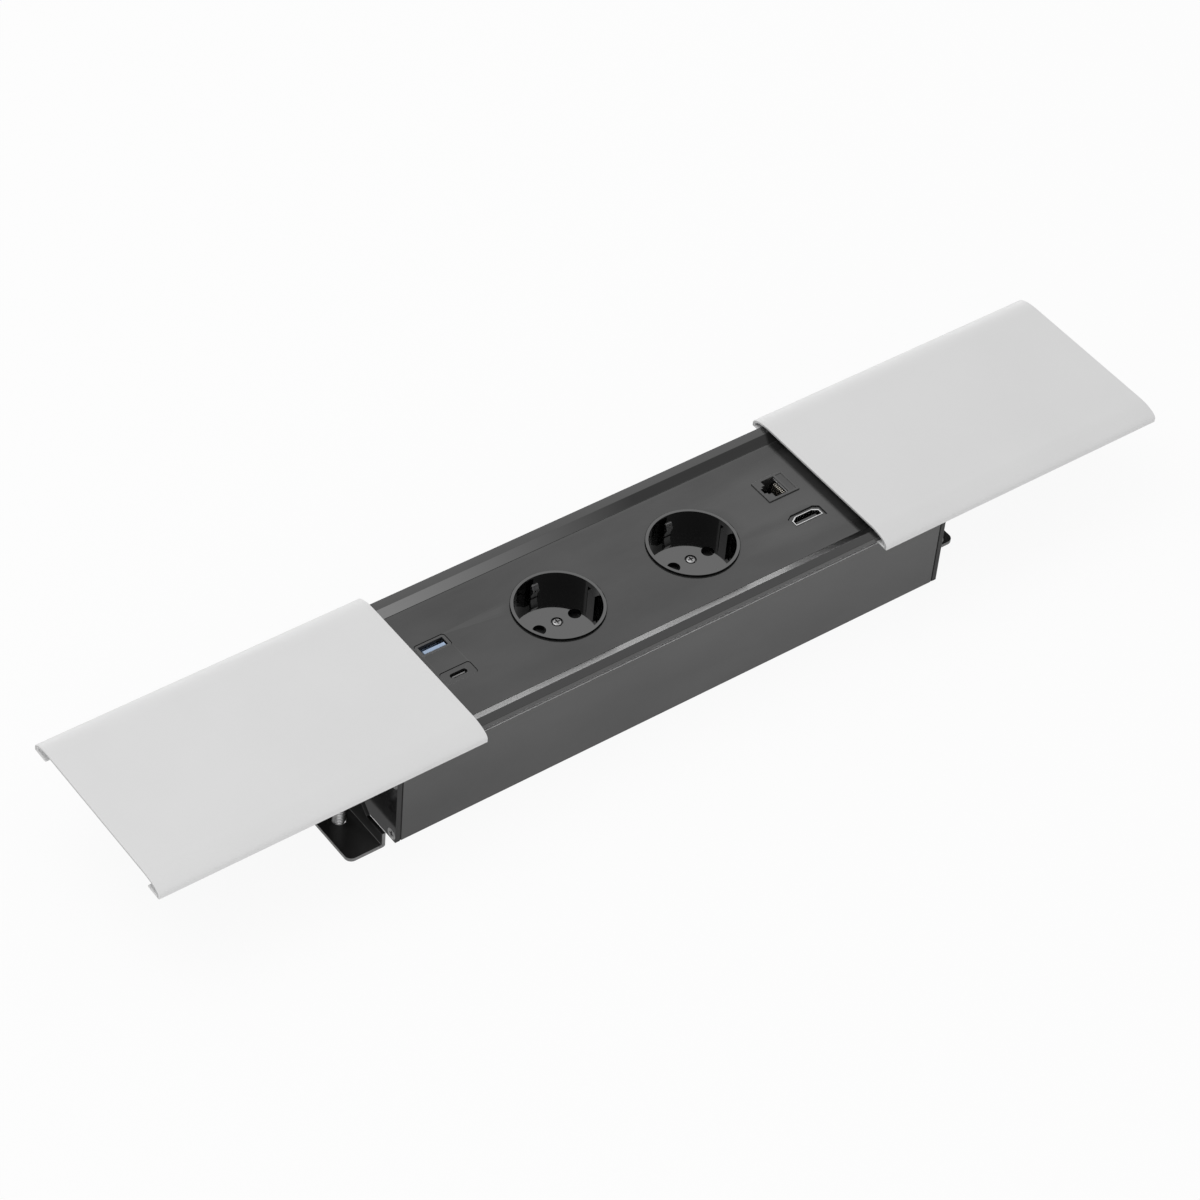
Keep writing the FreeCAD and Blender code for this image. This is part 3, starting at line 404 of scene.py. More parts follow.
# The sockets: distance of their middles from the module's, and the outer side of their rings
SOCKET_PLACE = mm(36.7)
RING_LOW = mm(45)
RING_SIDE = mm(20.95)


def cover_part(normal, centre, on_edge):
    """Painted shade lining on the flat underside of a cover, near its middle line, and its cut
    ends.
    """
    if on_edge:
        return "cover_paint"
    if normal.z < -FACING and abs(centre.y) < SHADE_LINING_REACH:
        return "painted_shade_lining"
    return "cut_end" if abs(normal.x) > ENDWAYS else "cover_paint"


def bracket_part(normal, centre, on_edge):
    """Painted highlight on the cut edges of a bracket's foot, its fold and the ends of its wall.
    """
    low_edge = centre.z < FOOT_HEIGHT and (on_edge or abs(normal.z) < UPWARDS)
    return "tongue_grey_and_painted_highlight" if abs(normal.y) > FACING or low_edge else "bracket_paint"


def shutter_part(normal, centre, on_edge):
    """Painted highlight on the rounded edges of a shutter."""
    return "tongue_grey_and_painted_highlight" if on_edge else "shutter_plastic"


def housing_part(normal, centre, on_edge):
    """Lips of the grooves with a painted highlight, slopes beside the panel (the rear one with a
    painted reflection fading along X), top of the front rail with painted shade, and outer corners
    with painted shade.
    """
    out = abs(centre.y)
    if LIP_LOW < centre.z < LIP_HIGH and out > LIP_INSIDE:
        return "groove_painted_highlight"
    if centre.z < RAIL_LOW or normal.z < UPWARDS:
        return "housing"
    if on_edge and out > RAIL_CORNER:
        return "painted_shade_edge"
    if not on_edge and SLOPE_LEAST < abs(normal.y) < SLOPE_MOST:
        return "front_slope" if centre.y < 0 else "rear_slope_painted_reflection"
    return "front_rail_top_painted_shade" if centre.y < 0 else "housing"


def socket_part(normal, centre, on_edge):
    """Level faces with a stronger painted sheen, which mirror the sky, and painted shade on the
    outer side of the ring.
    """
    radius = math.hypot(abs(centre.x) - SOCKET_PLACE, centre.y)
    if centre.z > RING_LOW and radius > RING_SIDE:
        return "painted_shade_edge"
    return "socket_face_painted_sheen" if normal.z > FACING else "socket_plastic"


# What repeats is placed by node groups

UPRIGHT = (0.0, 0.0, 0.0)

# Points in one turn of a thread, and corners of its section
THREAD_STEPS = 24
THREAD_CORNERS = 4


def new_group(name, inputs):
    group = bpy.data.node_groups.new(name, "GeometryNodeTree")
    group.interface.new_socket("Geometry", in_out="INPUT", socket_type="NodeSocketGeometry")
    for label, kind in inputs:
        group.interface.new_socket(label, in_out="INPUT", socket_type=kind)
    group.interface.new_socket("Geometry", in_out="OUTPUT", socket_type="NodeSocketGeometry")
    return group, group.nodes.new("NodeGroupInput"), group.nodes.new("NodeGroupOutput")


def end_group(group, shape, material):
    """Realizes what a group has made, gives it its material and leads it to the output."""
    real = group.nodes.new("GeometryNodeRealizeInstances")
    group.links.new(shape, real.inputs[0])
    coated = group.nodes.new("GeometryNodeSetMaterial")
    group.links.new(real.outputs[0], coated.inputs["Geometry"])
    group.links.new(material, coated.inputs["Material"])
    return coated.outputs[0]


def placing_group():
    """Puts one piece on each point, turned to one direction and spun by a seeded amount."""
    group, given, out = new_group("place pieces", (
        ("Piece", "NodeSocketObject"), ("Turn", "NodeSocketVector"), ("Spin", "NodeSocketFloat"),
        ("Seed", "NodeSocketInt"), ("Material", "NodeSocketMaterial")))
    nodes, link = group.nodes, group.links.new
    piece = nodes.new("GeometryNodeObjectInfo")
    link(given.outputs["Piece"], piece.inputs["Object"])
    placed = nodes.new("GeometryNodeInstanceOnPoints")
    link(given.outputs["Geometry"], placed.inputs["Points"])
    link(piece.outputs["Geometry"], placed.inputs["Instance"])
    link(given.outputs["Turn"], placed.inputs["Rotation"])
    # Random Value takes its lowest and highest number at sockets 2 and 3, and gives it at 1
    chance = nodes.new("FunctionNodeRandomValue")
    chance.data_type = "FLOAT"
    chance.inputs[2].default_value = 0.0
    link(given.outputs["Spin"], chance.inputs[3])
    link(given.outputs["Seed"], chance.inputs["Seed"])
    about = nodes.new("ShaderNodeCombineXYZ")
    link(chance.outputs[1], about.inputs["Z"])
    spun = nodes.new("GeometryNodeRotateInstances")
    link(placed.outputs[0], spun.inputs["Instances"])
    link(about.outputs[0], spun.inputs["Rotation"])
    link(end_group(group, spun.outputs[0], given.outputs["Material"]), out.inputs[0])


def thread_group():
    """Adds a helical ridge with a closed section, lifted clear of the foot of a screw."""
    group, given, out = new_group("thread", (
        ("Radius", "NodeSocketFloat"), ("Turns", "NodeSocketFloat"), ("Height", "NodeSocketFloat"),
        ("Lift", "NodeSocketVector"), ("Depth", "NodeSocketFloat"),
        ("Material", "NodeSocketMaterial")))
    nodes, link = group.nodes, group.links.new
    spiral = nodes.new("GeometryNodeCurveSpiral")
    spiral.inputs["Resolution"].default_value = THREAD_STEPS
    link(given.outputs["Turns"], spiral.inputs["Rotations"])
    link(given.outputs["Radius"], spiral.inputs["Start Radius"])
    link(given.outputs["Radius"], spiral.inputs["End Radius"])
    link(given.outputs["Height"], spiral.inputs["Height"])
    upright = nodes.new("GeometryNodeSetCurveNormal")
    upright.mode = "Z_UP"
    link(spiral.outputs[0], upright.inputs[0])
    section = nodes.new("GeometryNodeCurvePrimitiveCircle")
    section.inputs["Resolution"].default_value = THREAD_CORNERS
    link(given.outputs["Depth"], section.inputs["Radius"])
    swept = nodes.new("GeometryNodeCurveToMesh")
    swept.inputs["Fill Caps"].default_value = True
    link(upright.outputs[0], swept.inputs["Curve"])
    link(section.outputs[0], swept.inputs["Profile Curve"])
    lifted = nodes.new("GeometryNodeTransform")
    link(swept.outputs[0], lifted.inputs["Geometry"])
    link(given.outputs["Lift"], lifted.inputs["Translation"])
    both = nodes.new("GeometryNodeJoinGeometry")
    link(lifted.outputs[0], both.inputs[0])
    link(given.outputs["Geometry"], both.inputs[0])
    link(end_group(group, both.outputs[0], given.outputs["Material"]), out.inputs[0])


def grown(name, base, group, values):
    """The mesh that a node group makes from a base mesh."""
    host = bpy.data.objects.new(name, base)
    bpy.context.scene.collection.objects.link(host)
    modifier = host.modifiers.new("grow", "NODES")
    modifier.node_group = group
    for item in group.interface.items_tree:
        if item.in_out == "INPUT" and item.name in values:
            modifier[item.identifier] = values[item.name]
    ready = host.evaluated_get(bpy.context.evaluated_depsgraph_get())
    mesh = bpy.data.meshes.new_from_object(ready)
    host.modifiers.remove(modifier)
    bpy.data.objects.remove(host)
    mesh.name = name
    return mesh


def repeated(node, template, places, coat, turn=UPRIGHT, spin=0.0, seed=1):
    """One template mesh at each place, in the stead of a CAD node."""
    points = bpy.data.meshes.new(node + "_points")
    points.from_pydata([Vector(p) for p in places], [], [])
    piece = bpy.data.objects.new(node + "_template", template)
    bpy.context.scene.collection.objects.link(piece)
    name = node + "_finished"
    mesh = grown(name, points, bpy.data.node_groups["place pieces"], {
        "Piece": piece, "Turn": turn, "Spin": spin, "Seed": seed, "Material": finish(coat)})
    bpy.data.objects.remove(piece)
    add_piece(name, mesh, node)


# Screws and contacts

# Sides of a turned screw, and how much a driving recess narrows towards its floor
SCREW_SIDES = 36
RECESS_TAPER = 0.8

# The broken edge of a sunk head, and the steps and height of a dome
SUNK_EDGE = mm(0.12)
DOME_ANGLES = (50, 62, 74, 90)
DOME_SHARE = 0.45

# Clamp screws: key hole, chamfered ends, and how much of the thread stands out of the core
CLAMP_KEY = mm(1.3)
CLAMP_KEY_DEPTH = mm(1.2)
CLAMP_TIP = mm(0.4)
THREAD_SHOWN = 0.9

# Contacts of the network jack: their number, pitch, and where the middle of their row stands
CONTACT_COUNT = 8
CONTACT_PITCH = mm(1.02)
CONTACT_ROW = (mm(93.15), mm(9.4), mm(32.4))

# Half the width of one contact, and its outline in X and Z, in millimetres
CONTACT_HALF_WIDTH = 0.23
CONTACT_OUTLINE = (
    (0.0, 0.0), (0.0, 11.1), (-0.35, 11.1), (-2.2, 4.2), (-2.2, 3.7), (-0.35, 9.9), (-0.35, 0.0))

# Places are put in order at this many digits of a metre, so that each run gives the same order
ORDER_DIGITS = 4


def circle(radius, count):
    return [(radius * math.cos(math.tau * i / count), radius * math.sin(math.tau * i / count))
            for i in range(count)]


def hexagon(radius):
    return circle(radius, 6)


def cross_outline(length, width):
    a, b = length / 2, width / 2
    return [(a, -b), (a, b), (b, b), (b, a), (-b, a), (-b, b),
            (-a, b), (-a, -b), (-b, -b), (-b, -a), (b, -a), (b, -b)]


def sunk_rings(head, shank, height, length):
    """Radius and height of each ring of a screw with a sunk head, from the top down."""
    return [(head - SUNK_EDGE, 0.0), (head, -SUNK_EDGE), (head, -2 * SUNK_EDGE),
            (shank, -height), (shank, -length)]


def domed_rings(head, shank, height, length):
    """Radius and height of each ring of a screw with a domed head, from the top down."""
    turns = [math.radians(a) for a in DOME_ANGLES]
    dome = [(head * math.sin(a), -DOME_SHARE * height * (1 - math.cos(a))) for a in turns]
    return dome + [(head, -height), (shank, -height), (shank, -length)]


def screw_mesh(name, rings, recess, depth, coat):
    """A turned screw, given by its rings from the top down, with a driving recess."""
    bm = bmesh.new()
    loops = [[bm.verts.new((x, y, z)) for x, y in circle(radius, SCREW_SIDES)]
             for radius, z in rings]
    for low, high in zip(loops[1:], loops):
        for i in range(SCREW_SIDES):
            j = (i + 1) % SCREW_SIDES
            bm.faces.new((high[i], low[i], low[j], high[j]))
    bm.faces.new(list(reversed(loops[-1])))
    top = rings[0][1]
    mouth = [bm.verts.new((x, y, top)) for x, y in recess]
    floor = [bm.verts.new((RECESS_TAPER * x, RECESS_TAPER * y, top - depth)) for x, y in recess]
    edges = [bm.edges.get((loops[0][i - 1], loops[0][i])) for i in range(SCREW_SIDES)]
    edges += [bm.edges.new((mouth[i - 1], mouth[i])) for i in range(len(mouth))]
    bmesh.ops.triangle_fill(bm, edges=edges, use_beauty=True)
    for i in range(len(mouth)):
        bm.faces.new((mouth[i - 1], mouth[i], floor[i], floor[i - 1]))
    bm.faces.new(floor)
    bmesh.ops.recalc_face_normals(bm, faces=bm.faces)
    for e in sharp_edges(bm, SHARP):
        e.smooth = False
    return finish_mesh(bm, name, (coat,))


def contact_mesh(coat):
    """One sprung contact of the network jack: foot at zero, hooked over at the top."""
    bm = bmesh.new()
    sides = [[bm.verts.new((mm(x), mm(y), mm(z))) for x, z in CONTACT_OUTLINE]
             for y in (-CONTACT_HALF_WIDTH, CONTACT_HALF_WIDTH)]
    for side in sides:
        bm.faces.new(side)
    for i in range(len(CONTACT_OUTLINE)):
        bm.faces.new((sides[0][i - 1], sides[0][i], sides[1][i], sides[1][i - 1]))
    bmesh.ops.recalc_face_normals(bm, faces=bm.faces)
    for e in bm.edges:
        e.smooth = False
    return finish_mesh(bm, "contact", (coat,))


def islands(node):
    """The low and high corner of each separate solid of a CAD node, in a fixed order."""
    bm = merged(node)
    left = set(bm.verts)
    boxes = []
    while left:
        wave = [left.pop()]
        found = []
        while wave:
            vert = wave.pop()
            found.append(vert.co.copy())
            for e in vert.link_edges:
                other = e.other_vert(vert)
                if other in left:
                    left.remove(other)
                    wave.append(other)
        boxes.append((Vector([min(c[i] for c in found) for i in range(3)]),
                      Vector([max(c[i] for c in found) for i in range(3)])))
    bm.free()
    return sorted(boxes, key=lambda box: tuple(round(v, ORDER_DIGITS) for v in box[0]))


def screw_places(node):
    """Where the top of each screw of a CAD node stands, and which way it turns."""
    boxes = islands(node)
    mids = [(low + high) / 2 for low, high in boxes]
    if node.startswith(("end_", "bracket_", "inlet_")):
        out = 1 if mids[0].x > 0 else -1
        tops = [(high.x if out > 0 else low.x, m.y, m.z) for (low, high), m in zip(boxes, mids)]
        return tops, (0.0, math.radians(90 * out), 0.0)
    return [(m.x, m.y, high.z) for (_, high), m in zip(boxes, mids)], UPRIGHT


def clamp_screws(node, coat):
    """Threaded clamp screws, standing where the CAD's rods stand."""
    look = bpy.context.scene.module_thread
    boxes = islands(node)
    height = boxes[0][1].z - boxes[0][0].z
    core = look.radius - THREAD_SHOWN * look.depth
    rings = [(core - CLAMP_TIP, height), (core, height - CLAMP_TIP), (core, CLAMP_TIP),
             (core - CLAMP_TIP, 0.0)]
    stem = screw_mesh(node + "_stem", rings, hexagon(CLAMP_KEY), CLAMP_KEY_DEPTH, coat)
    rise = height - 2 * look.pitch
    threaded = grown(node + "_thread", stem, bpy.data.node_groups["thread"], {
        "Radius": look.radius - look.depth, "Turns": rise / look.pitch, "Height": rise,
        "Lift": (0.0, 0.0, look.pitch), "Depth": look.depth, "Material": finish(coat)})
    places = [((low.x + high.x) / 2, (low.y + high.y) / 2, low.z) for low, high in boxes]
    repeated(node, threaded, places, coat, UPRIGHT, math.tau, look.seed)


# What each kind of screw is made with, and the CAD nodes that it stands for
SCREWS = (
    dict(nodes=("end_screws_left", "end_screws_right"), coat="screw_steel",
         rings=sunk_rings(head=mm(2.9), shank=mm(1.5), height=mm(1.6), length=mm(12)),
         recess=cross_outline(mm(3.4), mm(0.8)), depth=mm(1.1)),
    dict(nodes=("bracket_screws_left", "bracket_screws_right"), coat="black_steel",
         rings=domed_rings(head=mm(3.8), shank=mm(2.0), height=mm(2.2), length=mm(11)),
         recess=hexagon(mm(1.5)), depth=mm(1.3)),
    dict(nodes=("inlet_screws",), coat="black_steel",
         rings=domed_rings(head=mm(2.5), shank=mm(1.4), height=mm(1.4), length=mm(5.4)),
         recess=cross_outline(mm(2.6), mm(0.7)), depth=mm(0.8)),
    dict(nodes=("panel_screws",), coat="black_steel",
         rings=domed_rings(head=mm(2.5), shank=mm(1.5), height=mm(1.5), length=mm(7.5)),
         recess=cross_outline(mm(2.8), mm(0.7)), depth=mm(0.9)),
    dict(nodes=("board_screws",), coat="zinc_steel",
         rings=domed_rings(head=mm(2.3), shank=mm(1.0), height=mm(1.2), length=mm(1.2)),
         recess=cross_outline(mm(2.4), mm(0.6)), depth=mm(0.7)),
    dict(nodes=("centre_screw_left", "centre_screw_right"), coat="screw_steel",
         rings=domed_rings(head=mm(2.2), shank=mm(1.5), height=mm(1.6), length=mm(28.1)),
         recess=cross_outline(mm(2.9), mm(0.75)), depth=mm(1.0)),
)


# Properties

class ModuleFinish(bpy.types.PropertyGroup):
    """Colours and satin of the pieces that show"""
    cover_colour: bpy.props.FloatVectorProperty(
        name="Cover colour", description="Paint of the two sliding covers", subtype="COLOR",
        size=3, min=0, max=1, default=grey(222))
    cover_roughness: bpy.props.FloatProperty(
        name="Cover roughness", description="Satin of the cover paint", subtype="FACTOR",
        min=0, max=1, default=0.45)
    housing_colour: bpy.props.FloatVectorProperty(
        name="Housing colour", description="Anodised finish of the extrusion", subtype="COLOR",
        size=3, min=0, max=1, default=grey(34))
    housing_roughness: bpy.props.FloatProperty(
        name="Housing roughness", description="Satin of the anodised finish", subtype="FACTOR",
        min=0, max=1, default=0.16)
    bracket_colour: bpy.props.FloatVectorProperty(
        name="Bracket colour", description="Powder coat of the clamp brackets", subtype="COLOR",
        size=3, min=0, max=1, default=grey(20))
    socket_colour: bpy.props.FloatVectorProperty(
        name="Socket colour", description="Plastic of the socket inserts", subtype="COLOR",
        size=3, min=0, max=1, default=grey(5))
    tongue_colour: bpy.props.FloatVectorProperty(
        name="Tongue colour", description="Plastic tongue of the larger charging port",
        subtype="COLOR", size=3, min=0, max=1, default=(0.36, 0.46, 0.62))


class ModuleEdges(bpy.types.PropertyGroup):
    """How far the edges are rounded"""
    sheet: bpy.props.FloatProperty(
        name="Sheet edges", description="Rounding of the edges of covers and brackets",
        unit="LENGTH", min=0, max=0.002, default=mm(0.35))
    extrusion: bpy.props.FloatProperty(
        name="Extrusion edges", description="Rounding of the housing's edges", unit="LENGTH",
        min=0, max=0.002, default=mm(0.3))
    moulded: bpy.props.FloatProperty(
        name="Moulded edges", description="Rounding of plastic pieces", unit="LENGTH",
        min=0, max=0.002, default=mm(0.15))


class ModuleThread(bpy.types.PropertyGroup):
    """Thread of the clamp screws, and the seed for the way all screws are turned"""
    radius: bpy.props.FloatProperty(
        name="Thread radius", description="Outer radius of the clamp screws", unit="LENGTH",
        min=0.001, max=0.01, default=mm(3.0))
    pitch: bpy.props.FloatProperty(
        name="Thread pitch", description="Rise of one turn of the clamp screws", unit="LENGTH",
        min=0.0002, max=0.004, default=mm(1.0))
    depth: bpy.props.FloatProperty(
        name="Thread depth", description="Depth of the thread", unit="LENGTH",
        min=0.0001, max=0.002, default=mm(0.5))
    seed: bpy.props.IntProperty(
        name="Seed", description="Which way the screws happen to be turned",
        min=0, max=9999, default=7)


class ModuleStage(bpy.types.PropertyGroup):
    """Floor, surround and lights"""
    floor_colour: bpy.props.FloatVectorProperty(
        name="Floor colour", description="Plain pale floor", subtype="COLOR",
        size=3, min=0, max=1, default=grey(235))
    key_power: bpy.props.FloatProperty(
        name="Key light", description="Power of the large soft light", unit="POWER",
        min=0, max=500, default=7.5)
    fill_power: bpy.props.FloatProperty(
        name="Fill light", description="Power of the soft light from the front", unit="POWER",
        min=0, max=500, default=6.5)
    sky: bpy.props.FloatProperty(
        name="Surround", description="Strength of the pale surround", min=0, max=2, default=0.62)
    card_power: bpy.props.FloatProperty(
        name="Back card", description="Power of the low card behind", unit="POWER",
        min=0, max=500, default=7.0)


# Pieces

class MODULE_OT_housing(bpy.types.Operator):
    """Housing extrusion, top panel, end plates, seals and stops of the covers"""
    bl_idname = "module.housing"
    bl_label = "Housing"

    def execute(self, context):
        edge = context.scene.module_edges.extrusion
        rounded_copy("housing_profile", "housing", edge, sharper_than=SHARP_EXTRUSION,
                     others=("groove_painted_highlight", "front_slope", "rear_slope_painted_reflection", "front_rail_top_painted_shade", "painted_shade_edge"),
                     picked=housing_part)
        rounded_copy("socket_panel", "panel", 0.6 * edge)
        for side in SIDES:
            rounded_copy("end_plate_" + side, "plate", 0.7 * edge)
            repaint("end_seal_" + side, "seal_rubber")
            rounded_copy("rail_pads_" + side, "seal_rubber", edge)
        return {"FINISHED"}


class MODULE_OT_covers(bpy.types.Operator):
    """Two sliding covers with their glides"""
    bl_idname = "module.covers"
    bl_label = "Covers"

    def execute(self, context):
        edge = context.scene.module_edges.sheet
        for side in SIDES:
            rounded_copy("cover_" + side, "cover_paint", edge, segments=3,
                         sharper_than=SHARP_SHEET, others=("painted_shade_lining", "cut_end"),
                         picked=cover_part)
            rounded_copy("cover_glides_" + side, "glide_plastic", 0.5 * edge)
        return {"FINISHED"}


class MODULE_OT_sockets(bpy.types.Operator):
    """Two earthed sockets with their cores, earth straps and turning shutters"""
    bl_idname = "module.sockets"
    bl_label = "Sockets"

    def execute(self, context):
        edge = context.scene.module_edges.moulded
        for side in SIDES:
            rounded_copy("socket_insert_" + side, "socket_plastic", 2 * edge,
                         others=("socket_face_painted_sheen", "painted_shade_edge"), picked=socket_part)
            rounded_copy("socket_core_" + side, "core_plastic", edge, segments=1)
            rounded_copy("earth_strap_" + side, "clip_metal", 0.6 * edge, segments=1)
            rounded_copy("shutter_" + side, "shutter_plastic", edge, segments=1,
                         others=("tongue_grey_and_painted_highlight",), picked=shutter_part)
            repaint("socket_latches_" + side, "zinc_steel")
        return {"FINISHED"}


class MODULE_OT_charging_ports(bpy.types.Operator):
    """Charging ports in their bezels, with the module and board below"""
    bl_idname = "module.charging_ports"
    bl_label = "Charging Ports"

    def execute(self, context):
        edge = context.scene.module_edges.moulded
        rounded_copy("usb_a_bezel", "black_plastic", edge)
        rounded_copy("usb_c_bezel", "black_plastic", edge)
        rounded_copy("usb_a_shell", "contact_metal", NO_ROUNDING)
        rounded_copy("usb_c_shell", "contact_metal", NO_ROUNDING)
        rounded_copy("usb_a_tongue", "tongue_plastic", edge)
        rounded_copy("usb_c_tongue", "tongue_grey_and_painted_highlight", 0.5 * edge)
        rounded_copy("charger_module", "black_plastic", edge)
        repaint("charger_board", "board")
        repaint("charger_pad", "seal_rubber")
        return {"FINISHED"}


class MODULE_OT_data_ports(bpy.types.Operator):
    """Network jack and video port"""
    bl_idname = "module.data_ports"
    bl_label = "Data Ports"

    def execute(self, context):
        edge = context.scene.module_edges.moulded
        rounded_copy("network_jack", "black_plastic", 0.4 * edge)
        rounded_copy("network_shield", "contact_metal", 0.3 * edge, segments=1)
        x, y, z = CONTACT_ROW
        middle = (CONTACT_COUNT - 1) / 2
        places = [(x, y + (i - middle) * CONTACT_PITCH, z) for i in range(CONTACT_COUNT)]
        repeated("network_contacts", contact_mesh("gilt"), places, "gilt")
        rounded_copy("video_block", "black_plastic", edge)
        rounded_copy("video_shell", "contact_metal", 0.6 * edge)
        rounded_copy("video_tongue", "black_plastic", 0.5 * edge)
        return {"FINISHED"}


class MODULE_OT_supply(bpy.types.Operator):
    """Mains inlet and the bus bars behind it"""
    bl_idname = "module.supply"
    bl_label = "Supply"

    def execute(self, context):
        edge = context.scene.module_edges.moulded
        rounded_copy("mains_inlet", "black_plastic", edge)
        rounded_copy("inlet_pins", "contact_metal", 2 * edge)
        for node in ("live_busbar", "neutral_busbar", "earth_busbar"):
            repaint(node, "brass_parts")
        repaint("busbar_posts", "core_plastic")
        return {"FINISHED"}


class MODULE_OT_clamps(bpy.types.Operator):
    """Clamp brackets with their spacers, screws and pads"""
    bl_idname = "module.clamps"
    bl_label = "Clamps"

    def execute(self, context):
        edge = context.scene.module_edges.sheet
        for side in SIDES:
            rounded_copy("clamp_bracket_" + side, "bracket_paint", 0.7 * edge,
                         others=("tongue_grey_and_painted_highlight",), picked=bracket_part)
            rounded_copy("bracket_spacers_" + side, "zinc_steel", 0.5 * edge, segments=1)
            clamp_screws("clamp_screws_" + side, "zinc_steel")
            rounded_copy("clamp_pads_" + side, "seal_rubber", edge)
        return {"FINISHED"}


class MODULE_OT_fasteners(bpy.types.Operator):
    """Screws of the end plates, panel, brackets, inlet, board and sockets"""
    bl_idname = "module.fasteners"
    bl_label = "Fasteners"

    def execute(self, context):
        seed = context.scene.module_thread.seed
        for kind in SCREWS:
            nodes, coat = kind["nodes"], kind["coat"]
            template = screw_mesh(nodes[0] + "_pattern", kind["rings"], kind["recess"],
                                  kind["depth"], coat)
            for node in nodes:
                places, turn = screw_places(node)
                repeated(node, template, places, coat, turn, math.tau, seed)
        return {"FINISHED"}


# Stage: floor, surround, lights and camera

# The photograph's camera: turn, rise and roll in degrees, shift and distance in millimetres
CAMERA_TURN = -39.836
CAMERA_RISE = 44.674
CAMERA_ROLL = 5.334
CAMERA_SHIFT = (8.422, -21.312, 1758.618)
FOCAL_PIXELS = 3927.021
IMAGE_PIXELS = 1200
SENSOR_WIDTH = 36.0
NEAREST_SEEN = 0.05
FARTHEST_SEEN = 50.0

# The floor reaches this far each way, and lies this far under the module
FLOOR_REACH = 6.0
FLOOR_GAP = mm(0.2)

# How white the floor looks to the camera, and in what mirrors it
FLOOR_GLOW = 0.92
FLOOR_GLOW_MIRRORED = 0.5

# Scale of the floor's mottling, and what is left of its colour where it is darkest
FLOOR_PATCH = 3.0
FLOOR_DARKEST = 0.99

WHITE = (1, 1, 1, 1)
MIDDLE = (0, 0, 0)


def place_camera():
    data = bpy.data.cameras.new("camera")
    camera = bpy.data.objects.new("camera", data)
    bpy.context.scene.collection.objects.link(camera)
    az, el, roll = (math.radians(a) for a in (CAMERA_TURN, CAMERA_RISE, CAMERA_ROLL))
    back = Vector((math.sin(az) * math.cos(el), -math.cos(az) * math.cos(el), math.sin(el)))
    right = Vector((math.cos(az), math.sin(az), 0))
    up = back.cross(right)
    across = right * math.cos(roll) + up * math.sin(roll)
    above = -right * math.sin(roll) + up * math.cos(roll)
    tx, ty, tz = (mm(v) for v in CAMERA_SHIFT)
    place = Matrix.Translation(back * tz - across * tx - above * ty)
    camera.matrix_world = place @ Matrix((across, above, back)).transposed().to_4x4()
    data.sensor_width = SENSOR_WIDTH
    data.lens = FOCAL_PIXELS / IMAGE_PIXELS * SENSOR_WIDTH
    data.clip_start = NEAREST_SEEN
    data.clip_end = FARTHEST_SEEN
    bpy.context.scene.camera = camera


def soft_light(name, place, size, power, aim=MIDDLE):
    data = bpy.data.lights.new(name, "AREA")
    data.shape = "RECTANGLE"
    data.size, data.size_y = size
    data.energy = power
    lamp = bpy.data.objects.new(name, data)
    bpy.context.scene.collection.objects.link(lamp)
    lamp.location = place
    lamp.rotation_mode = "QUATERNION"
    lamp.rotation_quaternion = (Vector(aim) - Vector(place)).to_track_quat("-Z", "Y")


def shown_white(tree, ray):
    """One for what the camera sees straight, mirrored or through glass, nought for other light."""
    seen = ray.outputs["Is Camera Ray"]
    for name in ("Is Glossy Ray", "Is Transmission Ray"):
        either = tree.nodes.new("ShaderNodeMath")
        either.operation = "MAXIMUM"
        tree.links.new(seen, either.inputs[0])
        tree.links.new(ray.outputs[name], either.inputs[1])
        seen = either.outputs[0]
    return seen


def floor_material(colour):
    """A pale floor that keeps shadows and looks nearly white to the camera."""
    r = Recipe("floor")
    darker = tuple(c * FLOOR_DARKEST for c in colour)
    tint = r.blend(r.mapped(r.noise(FLOOR_PATCH), 0.0, 1.0), darker, colour)
    r.link(tint, r.shader.inputs["Base Color"])
    r.shader.inputs["Roughness"].default_value = 0.8
    r.shader.inputs["Specular IOR Level"].default_value = 0.1
    glow = r.add("ShaderNodeEmission")
    glow.inputs["Strength"].default_value = 1.0
    ray = r.add("ShaderNodeLightPath")
    part = r.add("ShaderNodeMath", operation="MULTIPLY")
    r.link(shown_white(r.tree, ray), part.inputs[0])
    level = r.mapped(ray.outputs["Is Glossy Ray"], FLOOR_GLOW, FLOOR_GLOW_MIRRORED, 0.0, 1.0)
    r.link(level, part.inputs[1])
    mix = r.add("ShaderNodeMixShader")
    r.link(part.outputs[0], mix.inputs[0])
    r.link(r.shader.outputs[0], mix.inputs[1])
    r.link(glow.outputs[0], mix.inputs[2])
    r.link(mix.outputs[0], r.out.inputs[0])
    return r.mat


def make_world(strength):
    """A surround that lights softly and looks white to the camera and in mirrors."""
    world = bpy.data.worlds.new("surround")
    bpy.context.scene.world = world
    world.use_nodes = True
    tree = world.node_tree
    background = tree.nodes["Background"]
    background.inputs["Color"].default_value = WHITE
    background.inputs["Strength"].default_value = strength
    seen = tree.nodes.new("ShaderNodeBackground")
    seen.inputs["Color"].default_value = WHITE
    ray = tree.nodes.new("ShaderNodeLightPath")
    mix = tree.nodes.new("ShaderNodeMixShader")
    tree.links.new(shown_white(tree, ray), mix.inputs[0])
    tree.links.new(background.outputs[0], mix.inputs[1])
    tree.links.new(seen.outputs[0], mix.inputs[2])
    tree.links.new(mix.outputs[0], tree.nodes["World Output"].inputs[0])


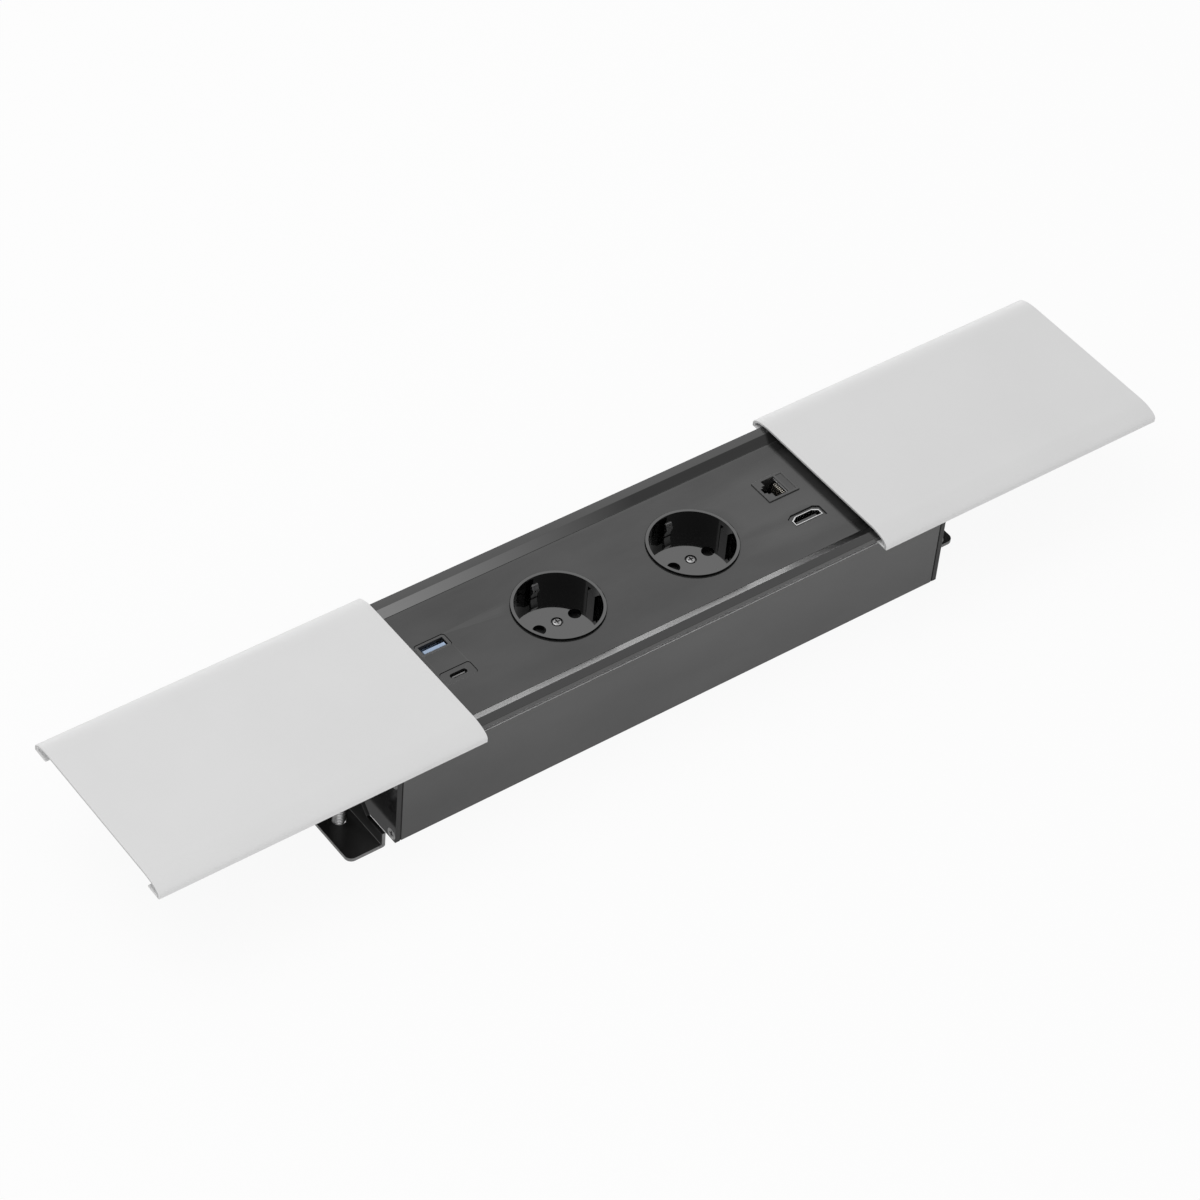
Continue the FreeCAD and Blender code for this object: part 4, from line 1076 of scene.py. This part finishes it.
def make_floor(colour):
    bm = bmesh.new()
    bmesh.ops.create_grid(bm, x_segments=1, y_segments=1, size=FLOOR_REACH)
    mesh = bpy.data.meshes.new("floor")
    bm.to_mesh(mesh)
    bm.free()
    mesh.transform(Matrix.Translation((0, 0, -FLOOR_GAP)))
    mesh.materials.append(floor_material(colour))
    floor = bpy.data.objects.new("floor", mesh)
    bpy.context.scene.collection.objects.link(floor)


class MODULE_OT_stage(bpy.types.Operator):
    """Pale floor, soft lights and the camera at the photograph's angle"""
    bl_idname = "module.stage"
    bl_label = "Stage"

    def execute(self, context):
        look = context.scene.module_stage
        make_floor(look.floor_colour[:])
        make_world(look.sky)
        soft_light("key", place=(-0.5, 0.5, 1.5), size=(1.2, 1.2), power=look.key_power)
        soft_light("fill", place=(-0.9, -1.6, 0.45), size=(1.4, 0.8), power=look.fill_power)
        soft_light("back card", place=(0.95, 1.85, 0.3), size=(1.6, 0.5),
                   power=look.card_power, aim=(0, 0, 0.03))
        place_camera()
        context.scene.view_settings.view_transform = "Standard"
        return {"FINISHED"}


STEPS = (
    MODULE_OT_housing,
    MODULE_OT_covers,
    MODULE_OT_sockets,
    MODULE_OT_charging_ports,
    MODULE_OT_data_ports,
    MODULE_OT_supply,
    MODULE_OT_clamps,
    MODULE_OT_fasteners,
    MODULE_OT_stage,
)
GROUPS = (
    ("module_finish", ModuleFinish),
    ("module_edges", ModuleEdges),
    ("module_thread", ModuleThread),
    ("module_stage", ModuleStage),
)


class MODULE_PT_panel(bpy.types.Panel):
    """Sizes, colours and pieces of the power module"""
    bl_idname = "MODULE_PT_panel"
    bl_label = "Power Module"
    bl_space_type = "VIEW_3D"
    bl_region_type = "UI"
    bl_category = "Power Module"

    def draw(self, context):
        for name, group in GROUPS:
            box = self.layout.box()
            for prop in group.__annotations__:
                box.prop(getattr(context.scene, name), prop)
        for step in STEPS:
            self.layout.operator(step.bl_idname)


CLASSES = tuple(group for _, group in GROUPS) + STEPS + (MODULE_PT_panel,)


def register():
    for cls in CLASSES:
        bpy.utils.register_class(cls)
    for name, group in GROUPS:
        setattr(bpy.types.Scene, name, bpy.props.PointerProperty(type=group))


def unregister():
    for name, _ in GROUPS:
        delattr(bpy.types.Scene, name)
    for cls in reversed(CLASSES):
        bpy.utils.unregister_class(cls)


def main():
    register()
    make_finishes()
    placing_group()
    thread_group()
    for step in STEPS:
        group, call = step.bl_idname.split(".")
        getattr(getattr(bpy.ops, group), call)()


if __name__ == "__main__":
    main()
